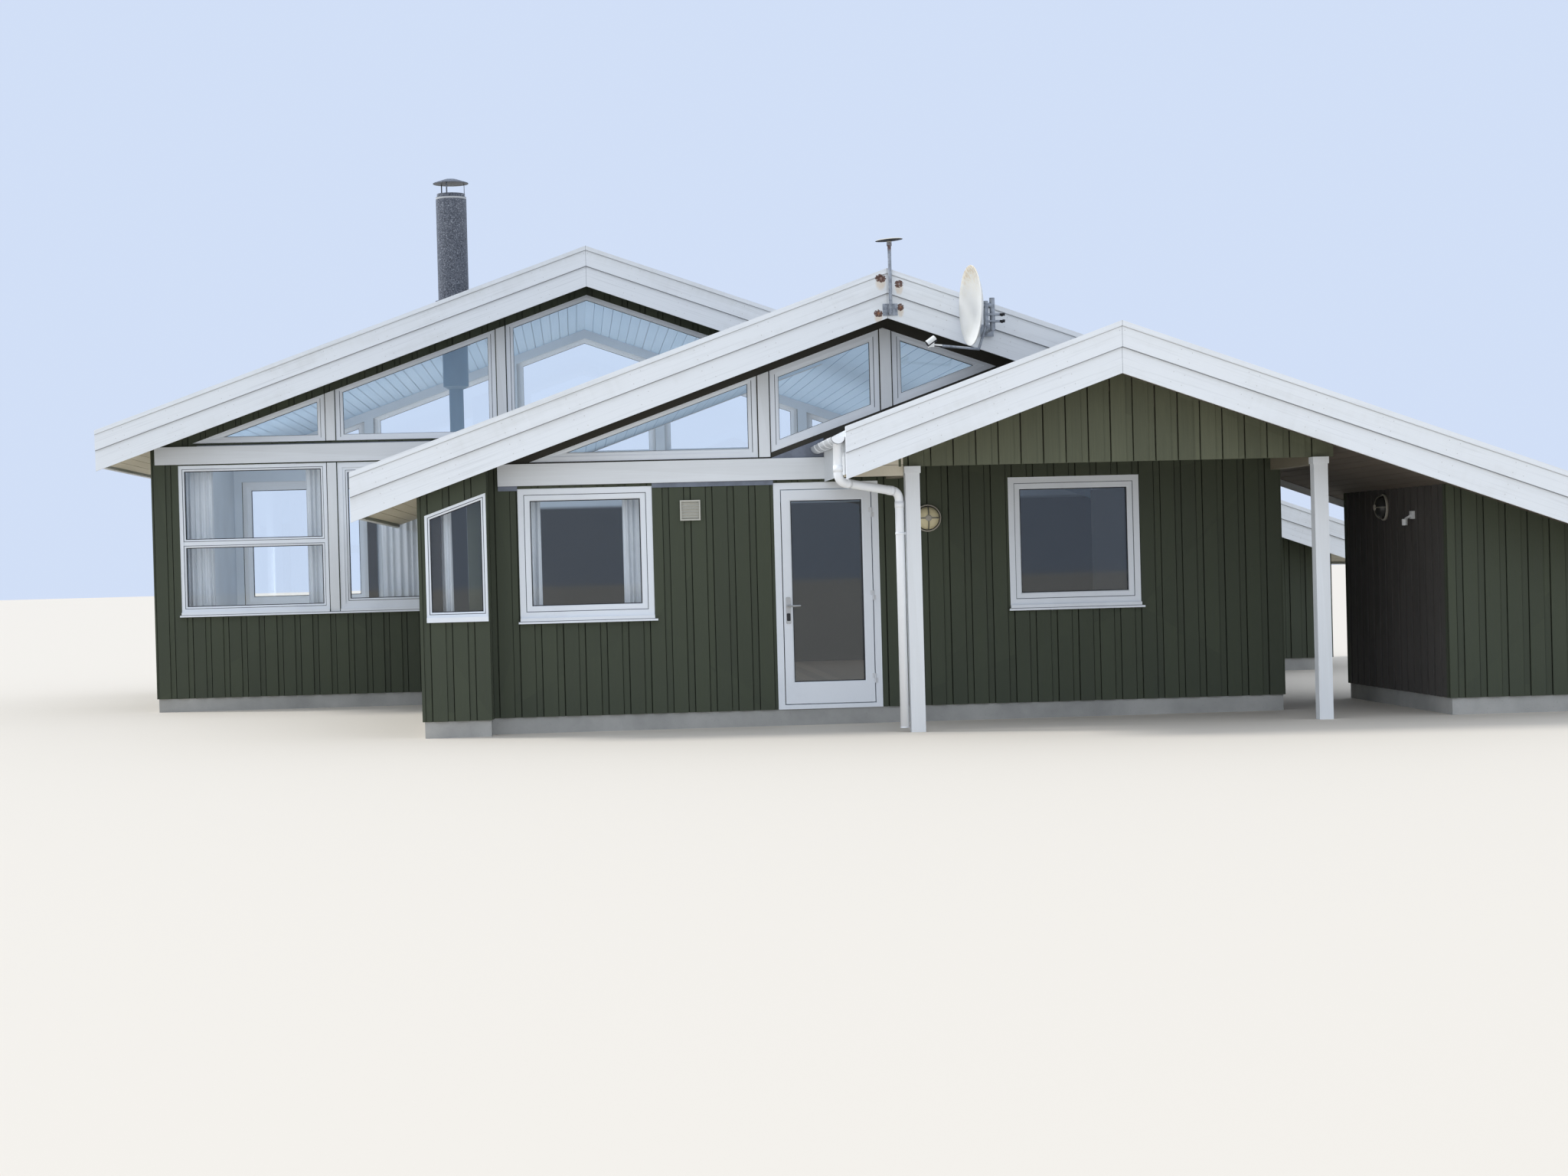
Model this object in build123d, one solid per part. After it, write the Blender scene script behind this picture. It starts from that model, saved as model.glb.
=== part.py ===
from build123d import *
import math
import os

# Timber beach house of three stepped low gables that share one long right-hand roof slope.
# Millimetres, +Z up, the gable fronts face -Y.
# x = 0 is the main ridge, y = 0 the front face of the rear section, z = 0 the ground.

# Roof form
roof_pitch = 19.6
rear_wall_height = 2828.0
roof_thickness = 330.0
middle_ridge_x = 2690.0
porch_ridge_x = 4520.0
rear_eave_overhang = 525.0
middle_eave_overhang = 585.0
porch_eave_overhang = 633.0
right_eave_overhang = 400.0
gable_overhang = 500.0
middle_overhang = 480.0
porch_overhang = 620.0
shed_back_overhang = 600.0
board_upstand = 30.0
bargeboard_width = 425.0
bargeboard_thickness = 28.0
bargeboard_lap = 22.0
capping_height = 45.0
capping_reach = 15.0
fascia_drop = 25.0

# Plan
wall_thickness = 200.0
shed_wall_thickness = 100.0
floor_thickness = 150.0
plinth_setback = 20.0
rear_left_x = -4955.0
middle_left_x = -1625.0
bay_right_x = -985.0
block_right_x = 6420.0
wing_right_x = 9200.0
rear_depth = 6000.0
middle_front_y = -5950.0
bay_projection = 300.0
porch_depth = 1430.0
wing_setback = 2130.0
passage_width = 1110.0
shed_depth = 3180.0
roof_step_reach = 530.0

# Doors and windows
door_height = 2100.0
door_width = 974.0
door_x = 1636.0
window_width = 1235.0
window_height = 1235.0
middle_window_x = -723.0
porch_window_x = 3830.0
bay_window_left = 64.0
bay_window_right = 20.0
bay_window_lift = 35.0
bay_window_gap = 253.0
bay_frame_width = 24.0
bay_sash_width = 10.0
rear_window_margin = 305.0
rear_window_width = 1655.0
rear_window_height = 1703.0
rear_window_bar = 822.0
window_bar_height = 70.0
frame_depth = 110.0
frame_inset = 5.0
frame_width = 55.0
sash_width = 45.0
sash_depth = 68.0
sash_setback = 12.0
light_frame_width = 45.0
light_bead_width = 27.0
fixed_frame_width = 38.0
fixed_sash_width = 14.0
glass_thickness = 24.0
sill_height = 45.0
sill_reach = 35.0
side_window_level = 1015.0

# Gable lights
mullion_width = 124.0
mullion_thickness = 16.0
light_gap = 118.0
light_lift = 50.0
light_width = 1819.0
peak_right_x = 1500.0
middle_light_x = 1628.0
middle_light_width = 1022.0
right_light_reach = 1080.0
rear_light_head = 42.0
rear_light_foot = 57.0
gable_light_heads = (26.0, 68.0, 45.0)

# Boards and flashings
board_thickness = 28.0
board_height = 200.0
board_gap = 14.0
rear_board_inset = 50.0
bay_board_inset = 85.0
light_flashing = 36.0
flashing_height = 44.0
flashing_thickness = 9.0

# Front door
door_frame_width = 62.0
door_gap = 9.0
door_threshold = 40.0
door_thickness = 68.0
door_stile = 74.0
door_top_rail = 86.0
door_bottom_rail = 190.0
hinge_radius = 8.0
hinge_length = 90.0
hinge_flap = 26.0
hinge_flap_thickness = 2.5
hinge_inset = 220.0
handle_level = 958.0
handle_inset = 42.0
handle_radius = 9.0
handle_reach = 50.0
handle_length = 120.0
plate_width = 45.0
plate_height = 248.0
plate_top = 83.0
plate_thickness = 9.0
keyhole_drop = 105.0
key_boss_depth = 4.0
rose_share = 1.8

# Porch
post_size = 125.0
post_left_x = 2748.0
post_right_inset = 36.0
post_cap_height = 60.0
post_cap_reach = 9.0
beam_width = 120.0
beam_drop = 61.0
right_beam_height = 184.0
porch_gable_thickness = 45.0
gable_reach_left = 52.0
gable_reach_right = 70.0

# Chimney
chimney_x = -1560.0
chimney_y = 1300.0
chimney_radius = 180.0
chimney_wall = 40.0
chimney_over_ridge = 812.0
collar_radius = 216.0
collar_height = 110.0
flue_radius = 150.0
flue_wall = 5.0
flue_length = 490.0
stovepipe_radius = 84.0
stovepipe_length = 800.0
cap_radius = 208.0
cap_rise = 55.0
cap_clearance = 120.0
cap_edge = 8.0
cap_leg_width = 16.0
cap_leg_thickness = 4.0
cap_leg_turn = 15.0
cap_ring_height = 40.0
cap_ring_inset = 15.0

# Gutter and downpipe
gutter_radius = 62.0
gutter_wall = 4.0
gutter_drop = 87.0
pipe_radius = 40.0
pipe_wall = 3.0
pipe_offset = 92.0
pipe_swing_drop = 135.0
pipe_swing_fall = 85.0
pipe_ground_gap = 40.0
bracket_level = 1740.0
bracket_width = 24.0
bracket_height = 30.0

# Wall fittings
lamp_radius = 127.0
lamp_rim = 24.0
lamp_depth = 105.0
lamp_dome_share = 0.86
lamp_guard_width = 9.0
lamp_guard_rise = 7.0
lamp_drop = 171.0
porch_lamp_x = 3067.0
shed_lamp_setback = 1820.0
vent_size = 188.0
vent_depth = 22.0
vent_x = 862.0
vent_drop = 233.0
vent_rim = 14.0
vent_back = 4.0
vent_slats = 6
vent_slat_depth = 16.0
vent_slat_thickness = 3.0
vent_slat_turn = 35.0
sensor_setback = 930.0
sensor_drop = 126.0
sensor_base = (32.0, 62.0, 72.0)
sensor_arm_radius = 11.0
sensor_arm_length = 70.0
sensor_arm_turn = 60.0
sensor_arm_reach = 55.0
sensor_arm_lift = 16.0
sensor_eye_radius = 26.0
sensor_eye_height = 58.0
sensor_eye_reach = 88.0
sensor_eye_drop = 29.0

# Aerials on the middle gable
mast_offset = 23.0
mast_radius = 16.0
mast_rise = 197.0
mast_plate_width = 136.0
mast_plate_height = 109.0
mast_plate_thickness = 8.0
mast_plate_lift = 20.0
mast_clearance = 5.0
mast_clamp_width = 40.0
mast_clamp_inset = 25.0
mast_neck_share = 1.4
mast_neck_height = 40.0
antenna_radius = 126.0
antenna_thickness = 26.0
antenna_lean = 4.0
dish_offset = 895.0
dish_standoff = 385.0
dish_radius = 361.0
dish_depth = 90.0
dish_sheet = 6.0
dish_turn = 7.6
dish_drop = 76.0
dish_tube_radius = 24.0
dish_tube_length = 295.0
dish_tube_drop = 303.0
dish_vertex_gap = 115.0
feed_reach = 575.0
feed_drop = 317.0
feed_radius = 32.0
feed_length = 90.0
feed_body = 46.0
arm_radius = 12.0
arm_foot_reach = 135.0
dish_boss_radius = 22.0
dish_channel = (45.0, 75.0, 30.0)
dish_channel_rise = 40.0
dish_clamp = (60.0, 34.0, 9.0)
dish_clamp_levels = (85.0, 145.0)
dish_plate = (50.0, 70.0, 45.0, 65.0)
dish_plate_thickness = 8.0
dish_standoff_radius = 20.0
dish_standoff_rise = 25.0
dish_steps = 4

seat_gap = 0.3
point_gap = 0.001

slope = math.tan(math.radians(roof_pitch))
slope_length = 1 / math.cos(math.radians(roof_pitch))
roof_drop = roof_thickness * slope_length
board_drop = bargeboard_width * slope_length
top_gap = board_upstand * slope_length
soffit_drop = top_gap + roof_drop
board_depth = bargeboard_thickness + bargeboard_lap
floor_top = floor_thickness
main_ridge_height = floor_top + rear_wall_height + soffit_drop - slope * rear_left_x
rear_window_x = rear_left_x + rear_window_margin
rear_eave_x = rear_left_x - rear_eave_overhang
middle_eave_x = middle_left_x - middle_eave_overhang
porch_eave_x = post_left_x - porch_eave_overhang
post_right_x = block_right_x - post_right_inset
roof_step_x = block_right_x + roof_step_reach
right_eave_x = wing_right_x + right_eave_overhang

rear_front_y = 0.0
middle_inner_y = middle_front_y + wall_thickness
bay_front_y = middle_front_y - bay_projection
porch_post_y = middle_front_y - porch_depth
wing_front_y = rear_front_y + wing_setback
rear_board_y = rear_front_y - gable_overhang
middle_board_y = middle_front_y - middle_overhang
porch_board_y = porch_post_y - porch_overhang
wing_board_y = wing_front_y - gable_overhang
back_board_y = rear_depth + gable_overhang
shed_left_x = block_right_x + passage_width
shed_back_y = porch_post_y + shed_depth
shed_roof_back_y = shed_back_y + shed_back_overhang

door_head = floor_top + door_height
head_line = door_head + 2 * board_gap + board_height
rear_window_head = floor_top + rear_wall_height - board_height
rear_head_line = rear_window_head + board_gap + board_height + light_flashing

beam_end = post_right_x + beam_width / 2
porch_gable_bottom = main_ridge_height - slope * beam_end - soffit_drop - right_beam_height + beam_drop
lamp_level = main_ridge_height - slope * shed_left_x - soffit_drop - lamp_drop
vent_level = door_head - vent_drop
light_border = light_frame_width + light_bead_width
mast_x = middle_ridge_x + mast_offset
dish_tube_x = middle_ridge_x + dish_offset
dish_board_top = main_ridge_height - slope * dish_tube_x
dish_level = dish_board_top - dish_drop
dish_tube_low = dish_board_top - dish_tube_drop
dish_tube_top = dish_tube_low + dish_tube_length
feed_level = dish_level - feed_drop

os.makedirs("parts", exist_ok=True)


def save(name, *pieces):
    """Write one node, its pieces as solids that stay apart."""
    solids = [solid for piece in pieces for solid in piece.solids()]
    shape = solids[0] if len(solids) == 1 else Compound(children=solids)
    export_step(shape, f"parts/{name}.step")


def block(x0, x1, y0, y1, z0, z1):
    return Pos((x0 + x1) / 2, (y0 + y1) / 2, (z0 + z1) / 2) * Box(x1 - x0, y1 - y0, z1 - z0)


def ridge_top(ridge_x):
    """Height of a ridge's capping: every ridge lies on the long right-hand slope."""
    return main_ridge_height - slope * ridge_x


# An outline is what stays inside a list of straight edges in the x, z plane.
# An edge is a point and a direction, with the inside on its left, and perhaps its share of an inset.
def from_x(x):
    return (x, 0, 0, -1)


def to_x(x):
    return (x, 0, 0, 1)


def above(z):
    return (0, z, 1, 0)


def below(z):
    return (0, z, -1, 0)


def under_left(ridge_x, drop=0.0):
    """Below the left-hand slope of a ridge, that far under the capping's line."""
    return (ridge_x, ridge_top(ridge_x) - drop, -1, -slope)


def under_right(drop=0.0):
    return (0, main_ridge_height - drop, -1, slope)


def over_left(ridge_x, lift=0.0):
    return (ridge_x, ridge_top(ridge_x) + lift, 1, slope)


def over_right(lift=0.0):
    return (0, main_ridge_height + lift, 1, -slope)


def narrowed(edges, width):
    """The same edges, along which a light's frame and bead together are only that wide."""
    return [edge + (width / light_border,) for edge in edges]


def outline(edges, inset=0.0):
    """Corners of the area inside every edge, each edge moved inwards by its share of the inset."""
    reach = 50000.0
    points = [(-reach, -reach), (reach, -reach), (reach, reach), (-reach, reach)]
    for x, z, dx, dz, *share in edges:
        length = math.hypot(dx, dz)
        shift = inset * share[0] if share else inset
        depths = [(dx * (pz - z) - dz * (px - x)) / length - shift for px, pz in points]
        kept = []
        for i, (point, depth) in enumerate(zip(points, depths)):
            before, depth_before = points[i - 1], depths[i - 1]
            if (depth >= 0) != (depth_before >= 0):
                share = depth_before / (depth_before - depth)
                kept.append((before[0] + share * (point[0] - before[0]), before[1] + share * (point[1] - before[1])))
            if depth >= 0:
                kept.append(point)
        points = [point for i, point in enumerate(kept) if math.dist(point, kept[i - 1]) > point_gap]
    return points


def prism(edges, y0, y1, inset=0.0):
    face = make_face(Polyline(*[(x, y0, z) for x, z in outline(edges, inset)], close=True))
    return extrude(face, amount=y1 - y0, dir=(0, 1, 0))


def under_roof(ridge_x, gap=0.0):
    """The two edges of the soffit over a section, with a gap below it."""
    return [under_left(ridge_x, soffit_drop + gap * slope_length), under_right(soffit_drop + gap * slope_length)]


def window(edges, face_y, outward=-1, widths=(frame_width, sash_width), bar=None, sill=True):
    """The frame with its stepped sash and sill, and the panes, for an opening with these edges."""
    low = outline(edges)
    z0 = min(z for _, z in low)
    x0, x1 = min(x for x, _ in low), max(x for x, _ in low)
    if sill:
        edges = edges + [above(z0 + sill_height)]
    border = sum(widths)
    front = face_y - outward * frame_inset
    y0, y1 = sorted((front, front - outward * frame_depth))
    sash_front = front - outward * sash_setback
    s0, s1 = sorted((sash_front, sash_front - outward * sash_depth))
    frame = prism(edges, y0, y1) - prism(edges, y0, y1, widths[0])
    frame += prism(edges, s0, s1, widths[0]) - prism(edges, s0, s1, border)
    glass_front = sash_front - outward * (sash_depth - glass_thickness) / 2
    g0, g1 = sorted((glass_front, glass_front - outward * glass_thickness))
    pane = prism(edges, g0, g1, border)
    if bar:
        band = prism(edges + [above(z0 + bar - window_bar_height), below(z0 + bar + window_bar_height)], s0, s1)
        band = band & prism(edges, s0, s1, border) & block(x0, x1, s0, s1, z0 + bar - window_bar_height / 2,
                                                           z0 + bar + window_bar_height / 2)
        frame += band
        pane -= band
    if sill:
        sy0, sy1 = sorted((face_y + outward * sill_reach, y1 if outward < 0 else y0))
        frame += block(x0, x1, sy0, sy1, z0, z0 + sill_height)
    return frame, pane


def cut_opening(wall, edges, face_y, outward=-1):
    y0, y1 = sorted((face_y + outward, face_y - outward * (wall_thickness + 1)))
    return wall - prism(edges, y0, y1)


class Facade:
    """Collects the frames and panes of one wall while its openings are cut."""

    front_panes = []
    back_panes = []

    def __init__(self, wall, face_y, outward=-1):
        self.wall = wall
        self.face_y = face_y
        self.outward = outward
        self.frames = []

    def add(self, edges, **options):
        self.wall = cut_opening(self.wall, edges, self.face_y, self.outward)
        frame, pane = window(edges, self.face_y, self.outward, **options)
        self.frames.append(frame)
        panes = Facade.front_panes if self.outward < 0 else Facade.back_panes
        panes.append(pane)

    def add_light(self, edges):
        self.add(edges, widths=(light_frame_width, light_bead_width), sill=False)


def rectangle(x0, x1, z0, z1):
    return [from_x(x0), to_x(x1), above(z0), below(z1)]


def turned_section(*points):
    """A section of (radius, height) points turned round the vertical axis."""
    return revolve(make_face(Polyline(*[(radius, 0, z) for radius, z in points], close=True)), Axis.Z)


def tube_run(points, radius):
    """A round rod along straight runs, mitred where they meet."""
    path = Polyline(*points)
    return sweep(Plane(origin=path @ 0, z_dir=path % 0) * Circle(radius), path, transition=Transition.RIGHT)


# Floor slabs under each section, set back under the cladding
def floor():
    inner = plinth_setback
    back_y = rear_depth - inner
    rear = block(rear_left_x + inner, block_right_x - inner, rear_front_y + inner, back_y, 0, floor_top)
    wing = block(block_right_x - 2 * inner, wing_right_x - inner, wing_front_y + inner, back_y, 0, floor_top)
    front = block(middle_left_x + inner, block_right_x - inner, middle_front_y + inner, rear_front_y + 2 * inner,
                  0, floor_top)
    bay = block(middle_left_x + inner, bay_right_x - inner, bay_front_y + inner, middle_front_y + 2 * inner,
                0, floor_top)
    shed = block(shed_left_x + inner, wing_right_x - inner, porch_post_y + inner, shed_back_y - inner, 0, floor_top)
    save("floor", rear + wing + front + bay, shed)


def mullion(x, z0, z1_edges, face_y, outward=-1):
    """A board over the wall between two lights."""
    y0, y1 = sorted((face_y, face_y + outward * mullion_thickness))
    return prism([from_x(x), to_x(x + mullion_width), above(z0)] + z1_edges, y0, y1, seat_gap)


def rear_lights(middle_roof=False):
    """Edges of the rear gable's upper lights, from the left."""
    border = narrowed([above(rear_head_line)], rear_light_foot)
    border += narrowed(under_roof(0, light_gap / slope_length), rear_light_head)
    first = rear_window_x + rear_window_width
    second = first + mullion_width
    third = second + light_width
    peak = third + mullion_width
    sides = [[to_x(first)], [from_x(second), to_x(third)]]
    if middle_roof:
        sides.append([over_left(middle_ridge_x, light_lift), from_x(peak), to_x(peak_right_x)])
    else:
        sides += [[from_x(peak), to_x(-peak)], [from_x(-third), to_x(-second)], [from_x(-first)]]
    return [side + border for side in sides], (first, third)


def rear_front():
    z0 = rear_window_head - rear_window_height
    top = under_roof(0)
    over_middle = [over_left(middle_ridge_x, -soffit_drop), to_x(middle_ridge_x)]
    y1 = rear_front_y + wall_thickness
    lower = prism([from_x(rear_left_x), to_x(middle_left_x), above(floor_top)] + top, rear_front_y, y1)
    upper = prism([from_x(middle_left_x)] + over_middle + top, rear_front_y, y1)
    facade = Facade(lower + upper, rear_front_y)
    first_right = rear_window_x + rear_window_width
    second_left = first_right + mullion_width
    facade.add(rectangle(rear_window_x, first_right, z0, rear_window_head), bar=rear_window_bar,
               widths=(fixed_frame_width, fixed_sash_width))
    facade.add(rectangle(second_left, middle_left_x - mullion_width, z0, rear_window_head))
    lights, mullions = rear_lights(middle_roof=True)
    for edges in lights:
        facade.add_light(edges)
    save("rear_front_wall", facade.wall)
    save("rear_window_frames", *facade.frames)
    boards = [mullion(first_right, z0, [below(rear_window_head)], rear_front_y)]
    for x in mullions:
        boards.append(mullion(x, rear_head_line, under_roof(0, light_gap / slope_length), rear_front_y))
    return boards


def rear_back():
    z0 = rear_window_head - rear_window_height
    back = prism([from_x(rear_left_x), to_x(wing_right_x), above(floor_top)] + under_roof(0),
                 rear_depth - wall_thickness, rear_depth)
    facade = Facade(back, rear_depth, 1)
    right = rear_window_x + rear_window_width
    left = right + mullion_width
    for x0, x1 in ((rear_window_x, right), (left, left + rear_window_width)):
        facade.add(rectangle(x0, x1, z0, rear_window_head))
    facade.add(rectangle(porch_window_x, porch_window_x + window_width, door_head - window_height, door_head))
    for edges in rear_lights()[0]:
        facade.add_light(edges)
    save("back_wall", facade.wall)
    save("back_window_frames", *facade.frames)


def side_walls():
    """Walls along the depth, with one window in each long outer side."""
    sides = []
    for x0, y0, y1, ridge_x, has_window in (
        (rear_left_x, rear_front_y + wall_thickness, rear_depth - wall_thickness, 0, True),
        (middle_left_x, bay_front_y + wall_thickness, rear_front_y, middle_ridge_x, False),
        (block_right_x - wall_thickness, middle_inner_y, wing_front_y, middle_ridge_x, False),
        (wing_right_x - wall_thickness, wing_front_y + wall_thickness, rear_depth - wall_thickness, 0, False),
    ):
        wall = prism([from_x(x0), to_x(x0 + wall_thickness), above(floor_top)] + under_roof(ridge_x), y0, y1)
        if has_window:
            middle = (y0 + y1) / 2
            turned = Pos(x0, middle, 0) * Rot(0, 0, -90)
            half = window_width / 2
            edges = rectangle(-half, half, side_window_level, side_window_level + window_height)
            frame, pane = window(edges, 0)
            wall -= turned * prism(edges, -1, wall_thickness + 1)
            save("side_window_frames", turned * frame)
            Facade.back_panes.append(turned * pane)
        sides.append(wall)
    save("side_walls", *sides)
    edges = [from_x(block_right_x - wall_thickness), to_x(wing_right_x), above(floor_top)] + under_roof(0)
    save("wing_front_wall", prism(edges, wing_front_y, wing_front_y + wall_thickness))


def bay():
    top = under_roof(middle_ridge_x)
    z0 = door_head - window_height + bay_window_lift
    bay_inner_y = bay_front_y + wall_thickness
    wall = prism([from_x(middle_left_x), to_x(bay_right_x), above(floor_top)] + top, bay_front_y, bay_inner_y)
    wall += prism([from_x(bay_right_x - wall_thickness), to_x(bay_right_x), above(floor_top), below(head_line)] + top,
                  bay_inner_y, middle_inner_y)
    facade = Facade(wall, bay_front_y)
    facade.add([from_x(middle_left_x + bay_window_left), to_x(bay_right_x - bay_window_right), above(z0)]
               + under_roof(middle_ridge_x, bay_window_gap / slope_length), widths=(bay_frame_width, bay_sash_width))
    save("bay_wall", facade.wall)
    return facade.frames


def middle_front():
    top = under_roof(middle_ridge_x)
    z0 = door_head - window_height
    right_x = door_x + door_width
    frames = bay()
    walls = {
        "middle_front_wall": (bay_right_x, door_x, floor_top, middle_window_x),
        "wall_over_door": (door_x, right_x, door_head, None),
        "porch_wall": (right_x, block_right_x, floor_top, porch_window_x),
    }
    for name, (x0, x1, low, window_x) in walls.items():
        edges = [from_x(x0), to_x(x1), above(low), below(head_line)] + top
        facade = Facade(prism(edges, middle_front_y, middle_inner_y), middle_front_y)
        if window_x is not None:
            facade.add(rectangle(window_x, window_x + window_width, z0, door_head))
            frames += facade.frames
        save(name, facade.wall)
    save("front_window_frames", *frames)

    # The glazed gable stands on the wall below and steps over the porch roof
    facade = Facade(prism([from_x(bay_right_x - wall_thickness), to_x(block_right_x), above(head_line)] + top,
                          middle_front_y, middle_inner_y), middle_front_y)
    light_top = under_roof(middle_ridge_x, light_gap / slope_length)
    over_porch = over_left(porch_ridge_x, light_lift)
    first_right = middle_light_x - mullion_width
    second_right = middle_light_x + middle_light_width
    third_left = second_right + mullion_width
    lift = above(head_line + board_gap)
    lights = ([from_x(bay_right_x), to_x(first_right)],
              [from_x(middle_light_x), to_x(second_right), over_porch],
              [from_x(third_left), to_x(third_left + right_light_reach), over_porch])
    for edges, head in zip(lights, gable_light_heads):
        facade.add_light(edges + [lift] + narrowed(light_top, head))
    save("middle_gable_wall", facade.wall)
    save("gable_window_frames", *facade.frames)
    return [mullion(first_right, head_line + board_gap, light_top, middle_front_y),
            mullion(second_right, head_line + board_gap, light_top + [over_porch], middle_front_y)]


def transom_boards():
    """White boards between the lower windows and the gable lights."""
    z0 = door_head + 2 * board_gap
    y0 = middle_front_y - board_thickness
    middle = prism(rectangle(bay_right_x + bay_board_inset, porch_eave_x, z0, head_line), y0, middle_front_y, 0)
    z0 = rear_window_head + board_gap
    edges = rectangle(rear_left_x + rear_board_inset, middle_left_x, z0, z0 + board_height)
    rear = prism(edges + under_roof(0, seat_gap), rear_front_y - board_thickness, rear_front_y)
    save("transom_boards", middle, rear)


def flashings():
    """Drip strips over the cladding, and the dark apron where the porch roof meets the wall."""
    strips = []
    z1 = door_head + 2 * board_gap
    window_right = middle_window_x + window_width
    for x0, x1 in ((bay_right_x + bay_board_inset, middle_window_x), (window_right, door_x)):
        strips.append(block(x0 + seat_gap, x1 - seat_gap, middle_front_y - flashing_thickness, middle_front_y,
                            z1 - flashing_height, z1 - seat_gap))
    apron = [from_x(middle_light_x), to_x(porch_eave_x), above(head_line), under_left(porch_ridge_x)]
    strips.append(prism(apron, middle_front_y - flashing_thickness, middle_front_y, seat_gap))
    cover = rear_window_head + board_gap + board_height
    left_x = rear_left_x + rear_eave_overhang
    strips.append(block(left_x, middle_left_x, rear_front_y - board_thickness, rear_front_y,
                        cover + seat_gap, cover + flashing_thickness))
    save("wall_flashings", *strips)


def roofs():
    """Three left-hand slopes and the one long right-hand slope that they all meet."""
    back_y = back_board_y - board_depth
    rear_y = rear_board_y + board_depth
    middle_y = middle_board_y + board_depth
    porch_y = porch_board_y + board_depth
    wing_y = wing_board_y + board_depth
    eave_x = right_eave_x - bargeboard_thickness
    right_plane = [under_right(top_gap), over_right(-soffit_drop)]
    strips = ((0, middle_ridge_x, rear_y, back_y), (middle_ridge_x, porch_ridge_x, middle_y, back_y),
              (porch_ridge_x, roof_step_x, porch_y, back_y), (roof_step_x, eave_x, porch_y, shed_roof_back_y),
              (roof_step_x, eave_x, wing_y, back_y))
    right = [prism([from_x(x0), to_x(x1)] + right_plane, y0, y1) for x0, x1, y0, y1 in strips]
    slab = right[0] + right[1] + right[2] + right[3] + right[4] - step_fascia()
    save("right_roof_slope", slab)

    def left(ridge_x, eave, y0, y1):
        edges = [from_x(eave + bargeboard_thickness), to_x(ridge_x), under_left(ridge_x, top_gap),
                 over_left(ridge_x, -soffit_drop)]
        return prism(edges, y0, y1)

    hole = Cylinder(chimney_radius + seat_gap, 2 * main_ridge_height)
    hole = Pos(chimney_x, chimney_y, main_ridge_height / 2) * hole
    save("rear_roof_left", left(0, rear_eave_x, rear_y, back_y) - hole)
    save("middle_roof_left", left(middle_ridge_x, middle_eave_x, middle_y, rear_front_y) - slab)
    save("porch_roof_left", left(porch_ridge_x, porch_eave_x, porch_y, middle_front_y) - slab)


def right_fascia(x, y0, y1):
    edges = [from_x(x - bargeboard_thickness), to_x(x), under_right(top_gap), over_right(-soffit_drop - fascia_drop)]
    return prism(edges, y0, y1)


def step_fascia():
    """The eave board where the long slope steps back over the passage."""
    return right_fascia(roof_step_x, shed_roof_back_y, wing_board_y + board_depth)


def band(ridge_x, left_x, right_x, depth, y0, y1):
    """A board along both slopes of a gable, mitred at the ridge, with plumb ends."""
    pieces = []
    if left_x < ridge_x:
        pieces.append(prism([from_x(left_x), to_x(ridge_x), under_left(ridge_x), over_left(ridge_x, -depth)], y0, y1))
    if right_x > ridge_x:
        start = max(left_x, ridge_x)
        pieces.append(prism([from_x(start), to_x(right_x), under_right(), over_right(-depth)], y0, y1))
    return pieces[0] if len(pieces) == 1 else pieces[0] + pieces[1]


def bargeboards(ridge_x, left_x, right_x, face_y, outward=-1):
    """Two lapped boards and a capping: the upper board stands proud of the lower one."""
    back_y = face_y - outward * board_depth
    lower_face = face_y - outward * bargeboard_lap
    cap_face = face_y + outward * capping_reach
    boards = band(ridge_x, left_x, right_x, board_drop, *sorted((back_y, lower_face)))
    boards += band(ridge_x, left_x, right_x, board_drop / 2, *sorted((lower_face, face_y)))
    return boards + band(ridge_x, left_x, right_x, capping_height, *sorted((face_y, cap_face)))


def gable_boards():
    def roof_space(ridge_x, y):
        """Everything at and under the next roof's outer surface, where the boards behind it stop."""
        edges = [from_x(rear_eave_x), to_x(right_eave_x), above(0), under_left(ridge_x, top_gap)]
        return prism(edges, y - board_depth, y + 2 * board_depth)

    rear = bargeboards(0, rear_eave_x, middle_ridge_x, rear_board_y)
    save("rear_bargeboards", rear - roof_space(middle_ridge_x, rear_board_y))
    middle = bargeboards(middle_ridge_x, middle_eave_x, porch_ridge_x, middle_board_y)
    save("middle_bargeboards", middle - roof_space(porch_ridge_x, middle_board_y))
    save("porch_bargeboards", bargeboards(porch_ridge_x, porch_eave_x, right_eave_x, porch_board_y))
    save("back_bargeboards", bargeboards(0, rear_eave_x, right_eave_x, back_board_y, 1),
         bargeboards(0, roof_step_x, right_eave_x, wing_board_y),
         bargeboards(0, roof_step_x, right_eave_x, shed_roof_back_y + board_depth, 1))


def eave_fascias():
    """Boards that close the plumb ends of the roofs along the eaves."""
    boards = []
    for ridge_x, eave, y0, y1 in ((0, rear_eave_x, rear_board_y + board_depth, back_board_y - board_depth),
                                  (middle_ridge_x, middle_eave_x, middle_board_y + board_depth, rear_front_y),
                                  (porch_ridge_x, porch_eave_x, porch_board_y + board_depth, middle_front_y)):
        edges = [from_x(eave), to_x(eave + bargeboard_thickness), under_left(ridge_x, top_gap),
                 over_left(ridge_x, -soffit_drop - fascia_drop)]
        boards.append(prism(edges, y0, y1))
    boards.append(right_fascia(right_eave_x, porch_board_y + board_depth, shed_roof_back_y))
    boards.append(right_fascia(right_eave_x, wing_board_y + board_depth, back_board_y - board_depth))
    save("eave_fascias", *boards, step_fascia())


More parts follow.
